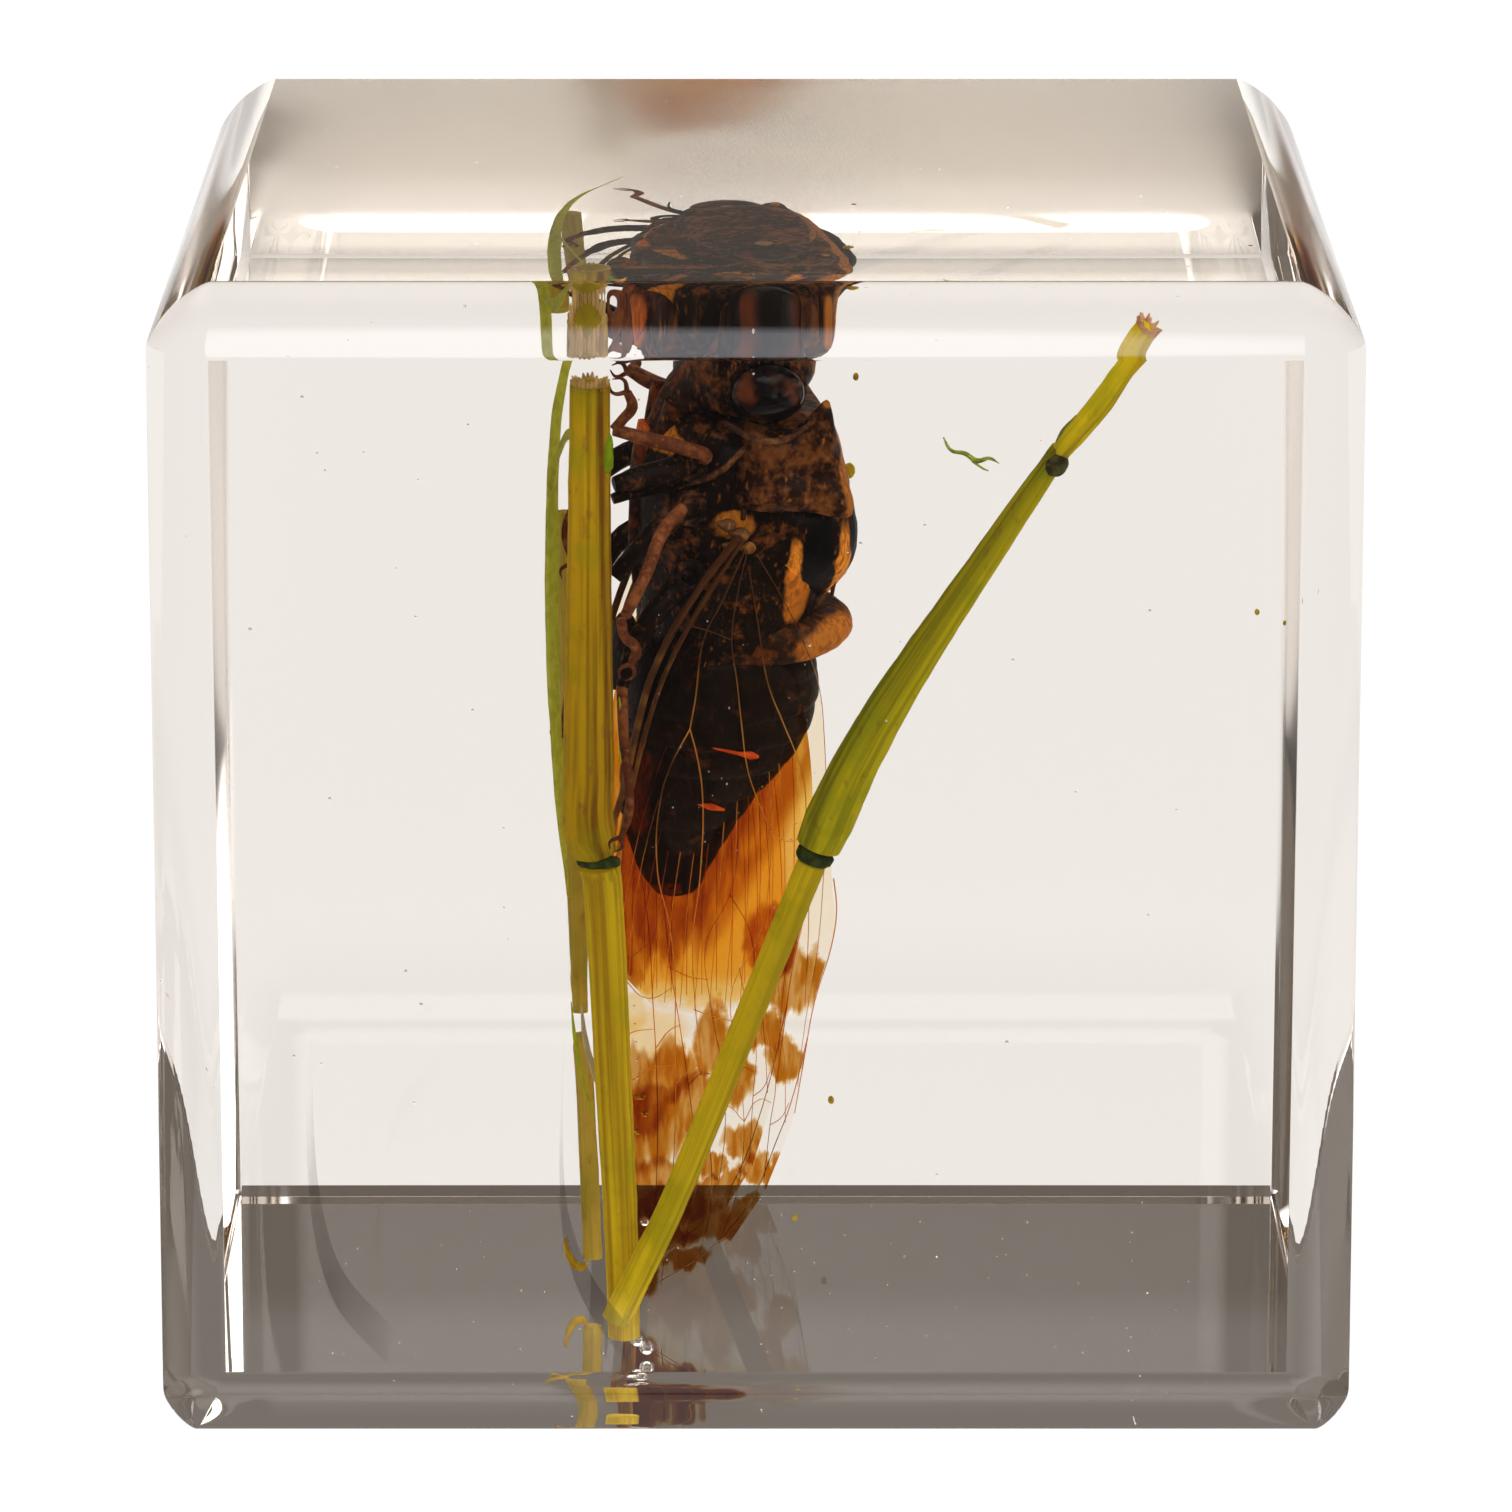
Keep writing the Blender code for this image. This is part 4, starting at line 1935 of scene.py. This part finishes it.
@dataclass(frozen=True)
class Length:
    """One length of a plant: a stem, a sheath, a blade or a scrap.

    Attributes:
        name: the piece's name.
        run: its middle line, each point with its radius or half width.
        lumps: the size and the height of its soft lumps, or None.
        sides: the bevel resolution round it.
        steps: the points along each stretch of curve.
        flat: for a flat blade, its thickness for each millimetre of width.
    """

    name: str
    run: tuple
    lumps: tuple[float, float] | None
    sides: int = 8
    steps: int = 10
    flat: float = 0.0

    def build(self, finish: Material) -> None:
        """Makes the length and dresses it."""
        piece = Bench.rod(self.name, [list(self.run)], self.sides, self.steps, self.flat)
        Bench.settle(piece, PLANT, finish, lumps=self.lumps)


@dataclass(frozen=True)
class TornEnd:
    """The ring of fibres that stands round a torn stem's end.

    Attributes:
        name: the piece's name.
        middle: the middle of the stem's end.
        axis: the way that the stem points.
        aside: a way square to it, to its right.
        spread: how far from the middle each fibre's foot, bend and tip are.
        radii: its radii there.
        root: how far down the stem it starts.
        reach: the least that it stands out, and how much more it may.
        count: how many fibres there are.
        seed: the seed of their lengths.
    """

    name: str
    middle: Point
    axis: Point
    aside: Point
    spread: Point
    radii: Point
    root: float
    reach: tuple[float, float]
    count: int
    seed: int

    def build(self, finish: Material) -> None:
        """Makes the fibres.

        Args:
            finish: their material.
        """
        draw = random.Random(self.seed)
        middle, axis, aside = Vector(self.middle), Vector(self.axis), Vector(self.aside)
        ahead = Vector((0.0, 1.0, 0.0))
        runs: list[Run] = []
        for index in range(self.count):
            turn = 2 * math.pi * index / self.count
            out = aside * math.cos(turn) + ahead * math.sin(turn)
            least, more = self.reach
            length = least + more * draw.random()
            rises = (-self.root, length / 2, length)
            points = [middle + out * far + axis * rise for far, rise in zip(self.spread, rises)]
            runs.append([(*point, radius) for point, radius in zip(points, self.radii)])
        Bench.settle(Bench.rod(self.name, runs, sides=1, steps=2), PLANT, finish, smooth=False)


JOINT_SKIN = Plain("joint_skin_green", (0.022, 0.035, 0.008), (0.05, 0.07, 0.01), 0.1)


@dataclass
class StemBeside:
    """The stem that stands beside the insect: a lower length, a joint and a sheathed upper length.

    Attributes:
        lower: the lower length.
        joint: the joint's cross-sections.
        sheath: the sheathed length.
        end: the torn fibres round its top.
    """

    lower: Length = Length(
        "near_stem_lower",
        ((-5.12, -10.0, 1.1, 0.64), (-5.15, -10.2, 3.3, 0.64), (-5.47, -10.9, 11.5, 0.71),
         (-5.87, -11.5, 19.8, 0.77), (-5.95, -11.6, 20.3, 0.78)),
        (1.2, 0.06),
    )
    joint: tuple = (
        Ring(20.3, -5.98, 0.7, 0.7, y=-11.6), Ring(20.36, -5.98, 0.84, 0.84, y=-11.6),
        Ring(20.62, -6.02, 0.86, 0.86, y=-11.6), Ring(20.7, -6.02, 0.72, 0.72, y=-11.6),
    )
    sheath: Length = Length(
        "near_stem_sheath",
        ((-6.05, -11.6, 20.75, 0.8), (-6.32, -11.7, 21.6, 0.98), (-6.35, -12.0, 24.5, 0.97),
         (-6.3, -12.5, 29.4, 0.88), (-6.25, -13.1, 34.5, 0.8), (-6.2, -13.7, 39.4, 0.76)),
        (1.0, 0.07),
    )
    end: TornEnd = TornEnd(
        "near_stem_fibres", middle=(-6.2, -13.7, 39.4), axis=(0.0, 0.0, 1.0), aside=(1.0, 0.0, 0.0),
        spread=(0.66, 0.66, 0.74), radii=(0.09, 0.08, 0.03), root=0.2, reach=(0.1, 0.28), count=26,
        seed=4,
    )

    def build(self) -> None:
        """Makes the stem's pieces."""
        self.lower.build(Stalk("yellow_stalk", lit=(1.0, 0.92, 0.02), shaded_side=0.75, brown=0.35).make())
        joint = Bench.loft("near_stem_joint", list(self.joint))
        Bench.settle(joint, PLANT, JOINT_SKIN.make(), rounds=1, lumps=(0.4, 0.08))
        olive_and_shade = Stalk(
            "olive_stalk", light=(0.72, 0.5, 0.012), dark=(0.15, 0.065, 0.008), lit=(0.95, 0.66, 0.012),
            shaded=(0.36, 0.17, 0.01), shaded_side=0.12, brown=0.7,
        )
        self.sheath.build(olive_and_shade.make())
        self.end.build(Plain("dry_fibre", (0.75, 0.55, 0.22), (0.42, 0.26, 0.08), 0.5).make())
        scar = Bench.ball("near_stem_scar", (-5.55, -13.6, 36.7), (0.2, 0.4, 0.8), (0, 6, 0))
        Bench.pull(scar, (-5.3, -13.4, 36.3), (0.12, 0.0, -0.1), 0.5)
        fresh = Plain("fresh_green", (0.32, 0.48, 0.01), (0.24, 0.3, 0.01), 0.5)
        Bench.settle(scar, PLANT, fresh.make(), lumps=(0.5, 0.12))


@dataclass
class StemAcross:
    """The stem that leans across in front of the wings, with its sheath, bud and torn tip.

    Attributes:
        lower: the lower length.
        joint: the ring at its joint.
        sheath: the sheathed length.
        upper: the bare upper length.
        bud: the small bud beside the tip.
        end: the torn fibres round the tip.
    """

    lower: Length = Length(
        "leaning_stem_lower",
        ((-5.38, -11.7, 2.15, 0.6), (-5.15, -11.8, 2.7, 0.58), (-3.1, -13.0, 7.4, 0.53),
         (-0.28, -14.5, 14.9, 0.54), (2.1, -15.75, 21.2, 0.56)),
        (1.2, 0.05),
    )
    joint: Length = Length(
        "leaning_stem_joint",
        ((2.12, -15.76, 21.26, 0.6), (2.17, -15.78, 21.4, 0.72), (2.27, -15.82, 21.62, 0.74),
         (2.32, -15.84, 21.74, 0.62)),
        None,
        sides=6,
        steps=6,
    )
    sheath: Length = Length(
        "leaning_stem_sheath",
        ((2.35, -15.8, 21.9, 0.86), (2.75, -16.0, 22.9, 0.95), (3.95, -16.4, 25.6, 0.86),
         (5.6, -16.9, 28.6, 0.72), (8.1, -17.5, 32.6, 0.56), (10.4, -18.0, 36.2, 0.44),
         (11.3, -18.4, 37.6, 0.4)),
        (1.0, 0.07),
    )
    upper: Length = Length(
        "leaning_stem_upper",
        ((10.9, -18.2, 37.0, 0.3), (11.7, -18.7, 38.1, 0.42), (12.75, -19.2, 39.5, 0.44),
         (13.6, -19.4, 40.8, 0.4), (14.35, -19.5, 41.7, 0.42)),
        (0.8, 0.06),
    )
    bud: Length = Length(
        "leaning_stem_bud",
        ((11.2, -18.4, 37.3, 0.3), (11.5, -18.6, 38.2, 0.28), (11.9, -18.8, 38.9, 0.12)), (0.4, 0.08),
        sides=5, steps=6,
    )
    end: TornEnd = TornEnd(
        "leaning_stem_fibres", middle=(14.3, -19.5, 41.65), axis=(0.53, -0.07, 0.84),
        aside=(0.84, 0.0, -0.53), spread=(0.36, 0.4, 0.5), radii=(0.08, 0.07, 0.03), root=0.0,
        reach=(0.15, 0.25), count=22, seed=9,
    )

    def build(self) -> None:
        """Makes the stem's pieces."""
        lit = (1.0, 0.92, 0.02)
        yellow = Stalk("leaning_stalk", lit=lit, dark=(0.42, 0.36, 0.015), shaded_side=0.75).make()
        green = Stalk(
            "green_stalk", light=(0.66, 0.55, 0.015), dark=(0.15, 0.15, 0.01), green=(0.17, 0.28, 0.012),
            lit=(0.86, 0.8, 0.02), shaded=(0.4, 0.38, 0.02), shaded_side=0.3, brown=0.9,
        )
        self.lower.build(yellow)
        self.joint.build(JOINT_SKIN.make())
        self.sheath.build(green.make())
        self.upper.build(yellow)
        self.bud.build(Plain("bud_green", (0.2, 0.24, 0.02), (0.32, 0.26, 0.03), 0.3).make())
        scar = Bench.ball("leaning_stem_scar", (11.15, -18.5, 37.05), (0.42, 0.45, 0.5), (0, 35, 0))
        black = Plain("rotten_scar", (0.03, 0.025, 0.01), (0.09, 0.08, 0.02), 0.1)
        Bench.settle(scar, PLANT, black.make(), lumps=(0.4, 0.15))
        self.end.build(Plain("torn_fibre", (0.85, 0.58, 0.34), (0.55, 0.27, 0.12), 0.5).make())


@dataclass
class StemBehind:
    """The thin brown stem behind the others, broken in two, and the scrap at its foot.

    Attributes:
        lengths: the upper and the lower length.
        scrap: the curled scrap.
    """

    lengths: tuple[Length, ...] = (
        Length(
            "rear_stem_upper",
            ((-6.95, 3.3, 11.6, 0.3), (-7.0, 3.3, 14.0, 0.36), (-7.2, 3.3, 23.0, 0.42),
             (-7.35, 3.3, 31.9, 0.44)),
            (0.8, 0.08),
            sides=6,
        ),
        Length(
            "rear_stem_lower",
            ((-6.5, 3.3, 1.4, 0.38), (-6.6, 3.3, 4.5, 0.38), (-6.9, 3.3, 10.2, 0.34),
             (-7.0, 3.3, 10.75, 0.22)),
            (0.8, 0.08),
            sides=6,
        ),
    )
    scrap: Length = Length(
        "rear_stem_scrap",
        ((-7.6, 3.2, 2.3, 0.05), (-7.45, 3.1, 1.6, 0.14), (-7.0, 3.0, 1.1, 0.18), (-6.7, 3.0, 1.3, 0.06)),
        (0.3, 0.08), sides=3, steps=6,
    )

    def build(self) -> None:
        """Makes the stem and the scrap."""
        brown = Stalk(
            "brown_stalk", light=(0.46, 0.36, 0.06), dark=(0.16, 0.12, 0.03), green=(0.24, 0.24, 0.03),
            through=0.35, brown=0.7,
        ).make()
        for length in self.lengths:
            length.build(brown)
        self.scrap.build(Plain("yellow_scrap", (0.65, 0.48, 0.02), (0.45, 0.28, 0.02), 0.5).make())


class Leaf(Enum):
    """The finishes of the loose blades."""

    DRY = Plain("dry_leaf", (0.72, 0.72, 0.16), (0.38, 0.36, 0.06), 0.7)
    GREEN = Plain("green_sliver", (0.6, 0.66, 0.04), (0.4, 0.38, 0.03), 0.65)
    PALE = Plain("pale_sheath", (0.72, 0.66, 0.5), (0.55, 0.48, 0.3), 0.6)


@dataclass
class Slivers:
    """Loose blades and slivers of leaf round the stems.

    Attributes:
        blades: for each its name, finish, middle line with half widths, and lumps' height.
    """

    blades: tuple = (
        ("long_blade", Leaf.DRY,
         ((-5.3, 3.0, 40.5, 0.03), (-6.1, 1.8, 39.9, 0.08), (-6.95, 0.4, 39.0, 0.22),
          (-7.55, -1.0, 37.0, 0.3), (-7.75, -1.8, 35.0, 0.38), (-7.85, -2.2, 31.0, 0.46),
          (-7.85, -2.4, 27.5, 0.44), (-7.6, -2.8, 21.6, 0.34), (-7.3, -3.0, 17.5, 0.08)), 0.08),
        ("short_blade", Leaf.DRY,
         ((-7.9, -2.0, 33.5, 0.12), (-7.5, -5.0, 35.5, 0.2), (-6.9, -9.0, 36.8, 0.22),
          (-6.3, -11.4, 36.6, 0.08)), 0.08),
        ("green_sliver", Leaf.GREEN,
         ((-5.2, -10.6, 26.8, 0.03), (-5.1, -10.4, 25.9, 0.14), (-5.15, -10.4, 24.9, 0.12),
          (-5.2, -10.5, 24.2, 0.03)), 0.05),
        ("pale_sliver", Leaf.PALE,
         ((-6.7, -10.6, 14.6, 0.04), (-6.55, -10.4, 13.2, 0.16), (-6.2, -10.3, 11.8, 0.18),
          (-5.95, -10.3, 11.0, 0.04)), 0.06),
        ("curled_flake", Leaf.GREEN,
         ((-7.1, -9.8, 14.6, 0.03), (-6.95, -9.7, 13.0, 0.09), (-6.7, -9.8, 11.6, 0.08),
          (-6.2, -9.9, 9.8, 0.03)), 0.05),
    )

    def build(self) -> None:
        """Makes the slivers."""
        looks = {leaf: leaf.value.make() for leaf in Leaf}
        for name, leaf, run, height in self.blades:
            Length(name, run, (1.5, height), sides=3, steps=8, flat=0.2).build(looks[leaf])


# ---- seams and bits


@dataclass
class PourSeam:
    """A faint seam where one pour of resin met the next, curving under at its foot.

    Attributes:
        name: the piece's name.
        line: its points across and up, seen from in front.
        near: how far forward it reaches.
        far: how far back it reaches.
        thickness: how thick its haze is.
        samples: how many stretches its line has.
    """

    name: str
    line: tuple
    near: float = -20.5
    far: float = -14.0
    thickness: float = 0.03
    samples: int = 30

    def build(self) -> None:
        """Makes the seam's thin curved sheet."""
        steps = [Bench.along(self.line, step / self.samples) for step in range(self.samples + 1)]
        seam = Bench.line([(x, self.near, z) for x, z in steps])
        seam.name = self.name
        reach = {"value": (0.0, self.far - self.near, 0.0)}
        with Bench.opened(seam):
            bpy.ops.mesh.extrude_region_move(TRANSFORM_OT_translate=reach)
        Bench.modify(seam, "SOLIDIFY", thickness=self.thickness, offset=0.0)
        Bench.close(seam)
        Bench.settle(seam, SEALED, self.make_haze())

    def make_haze(self) -> Material:
        """Makes the seam's finish, which shows only near its foot.

        Returns:
            The material.
        """
        graph = Graph(self.name + "_haze")
        place = graph.local(IN_BLOCK)
        _, _, z = graph.axes(place)
        wisps = graph.noise(graph.stretched(place, (1.0, 0.1, 0.3)), 1.2, 4.0)
        clear = graph.add("ShaderNodeBsdfTransparent", None, {"Color": (0.995, 0.994, 0.993)})
        haze = graph.add("ShaderNodeBsdfTransparent", None, {"Color": (0.62, 0.6, 0.59)})
        deep = z.step(13.0, 6.0) * z.step(1.8, 4.0) * (0.15 + wisps * 0.7)
        return graph.finish(graph.blend(deep.clamped(), clear, haze))


@dataclass
class LooseBits:
    """Specks, fibres and air bubbles scattered in the resin.

    Attributes:
        seed: the seed of the bubbles' places; the dust's is the next one.
        fine_bubbles: how many tiny bubbles there are all round.
        low_dust: how many grains of dust lie in the lower resin.
        near_dust: how many lie in front of the insect.
        fibre: the green fibre's strands.
        crumbs: each crumb's place and half width.
        bubbles: each bigger bubble's place and radius.
    """

    seed: int = 21
    fine_bubbles: int = 60
    low_dust: int = 70
    near_dust: int = 30
    fibre: tuple = (
        ((7.0, -14.0, 37.4, 0.03), (7.3, -14.0, 36.9, 0.07), (7.8, -14.1, 36.8, 0.1),
         (8.3, -14.0, 36.5, 0.1), (8.7, -14.0, 36.6, 0.06), (9.1, -14.0, 36.4, 0.03)),
        ((8.1, -14.0, 36.5, 0.06), (8.5, -14.0, 36.2, 0.05), (8.7, -13.9, 36.1, 0.02)),
    )
    crumbs: tuple = (
        ((3.84, 0.0, 37.7), 0.11), ((19.4, 0.0, 28.4), 0.09), ((20.4, -2.0, 28.3), 0.07),
        ((2.95, 0.0, 8.65), 0.12), ((1.54, 0.0, 3.8), 0.1), ((3.55, -5.9, 34.9), 0.22),
    )
    bubbles: tuple = (
        ((-4.62, -9.0, 0.72), 0.26), ((-4.25, -9.0, 0.42), 0.3), ((-4.47, -3.4, 9.5), 0.17),
        ((-4.62, -3.4, 9.45), 0.12), ((-4.35, -3.2, 8.75), 0.15), ((-4.63, -3.2, 8.0), 0.13),
        ((-4.37, -2.6, 4.2), 0.2),
    )

    def build(self) -> None:
        """Makes the bits."""
        fibre = Bench.rod("green_fibre", [list(strand) for strand in self.fibre])
        green = Plain("fibre_green", (0.42, 0.46, 0.06), (0.16, 0.22, 0.03), 0.4)
        Bench.settle(fibre, PLANT, green.make(), lumps=(0.3, 0.05), smooth=False)
        specks = []
        for spot, size in self.crumbs:
            speck = Bench.ball("speck", spot, (size, size * 0.8, size * 1.4))
            Bench.roughen(speck, 0.15, 0.05)
            specks.append(speck)
        gold = Plain("crumb_yellow", (0.62, 0.48, 0.02), (0.35, 0.22, 0.02), 0.4)
        Bench.settle(Bench.join("crumbs", specks), PLANT, gold.make(), smooth=False)
        self.build_dust()
        self.build_bubbles()

    def build_dust(self) -> None:
        """Makes the fine pale dust that lies in the lower resin and in front of the insect."""
        draw = random.Random(self.seed + 1)
        spots = [
            (draw.uniform(-17, 17), draw.uniform(-21, -8), draw.uniform(0.6, 7.0))
            for _ in range(self.low_dust)
        ]
        spots += [
            (draw.uniform(-4.0, 2.5), -10.2, draw.uniform(20.0, 30.0)) for _ in range(self.near_dust)
        ]
        parts = []
        for spot in spots:
            size = draw.uniform(0.012, 0.035)
            Bench.clear()
            bpy.ops.mesh.primitive_ico_sphere_add(subdivisions=1, radius=size, location=spot)
            bpy.ops.transform.resize(value=(1.0, 0.6, draw.uniform(0.6, 2.0)))
            parts.append(bpy.context.object)
        dust = Bench.join("pale_dust", parts)
        bpy.ops.object.transform_apply(location=True, rotation=True, scale=True)
        pale = Plain("pale_dust_skin", (0.85, 0.82, 0.78), (0.6, 0.56, 0.5), 0.3)
        Bench.settle(dust, SEALED, pale.make(), smooth=False)

    def build_bubbles(self) -> None:
        """Makes the bubbles by the stem's foot and along a wing vein, and the fine ones all round."""
        draw = random.Random(self.seed)
        spots = list(self.bubbles)
        spots += [((-4.75 + 0.03 * k, -3.6 + 0.1 * k, 13.2 - 0.75 * k), 0.05) for k in range(6)]
        for _ in range(self.fine_bubbles):
            spot = (draw.uniform(-20, 20), draw.uniform(-20, 20), draw.uniform(0.8, 42))
            spots.append((spot, draw.uniform(0.03, 0.07)))
        parts = []
        for spot, radius in spots:
            cuts = 3 if radius > 0.1 else 2
            Bench.clear()
            bpy.ops.mesh.primitive_ico_sphere_add(subdivisions=cuts, radius=radius, location=spot)
            parts.append(bpy.context.object)
        bubbles = Bench.join("air_bubbles", parts)
        bpy.ops.object.transform_apply(location=True, rotation=True, scale=True)
        Bench.hold(bubbles)
        bpy.ops.object.shade_smooth()
        Bench.settle(bubbles, SEALED, AirPocket().make(), smooth=False)


# ---- all


LEFT_SEAM = PourSeam(
    "left_seam", ((-16.9, 14.0), (-16.9, 10.0), (-16.6, 7.0), (-15.8, 4.5), (-14.0, 2.4))
)
MIDDLE_SEAM = PourSeam("middle_seam", ((-7.3, 14.0), (-7.4, 10.0), (-7.2, 7.0), (-6.3, 4.4), (-4.6, 2.0)))


def main() -> None:
    """Builds the studio, the casting and all that is sealed in it, in order."""
    logging.basicConfig(level=logging.INFO, format="%(message)s")
    pieces = (
        Studio(), ResinCasting(), Thorax(), Head(), Abdomen(), Legs(), FOREWINGS, HINDWINGS,
        StemBeside(), StemAcross(), StemBehind(), Slivers(), LEFT_SEAM, MIDDLE_SEAM, LooseBits(),
    )
    for piece in pieces:
        piece.build()


if __name__ == "__main__":
    main()
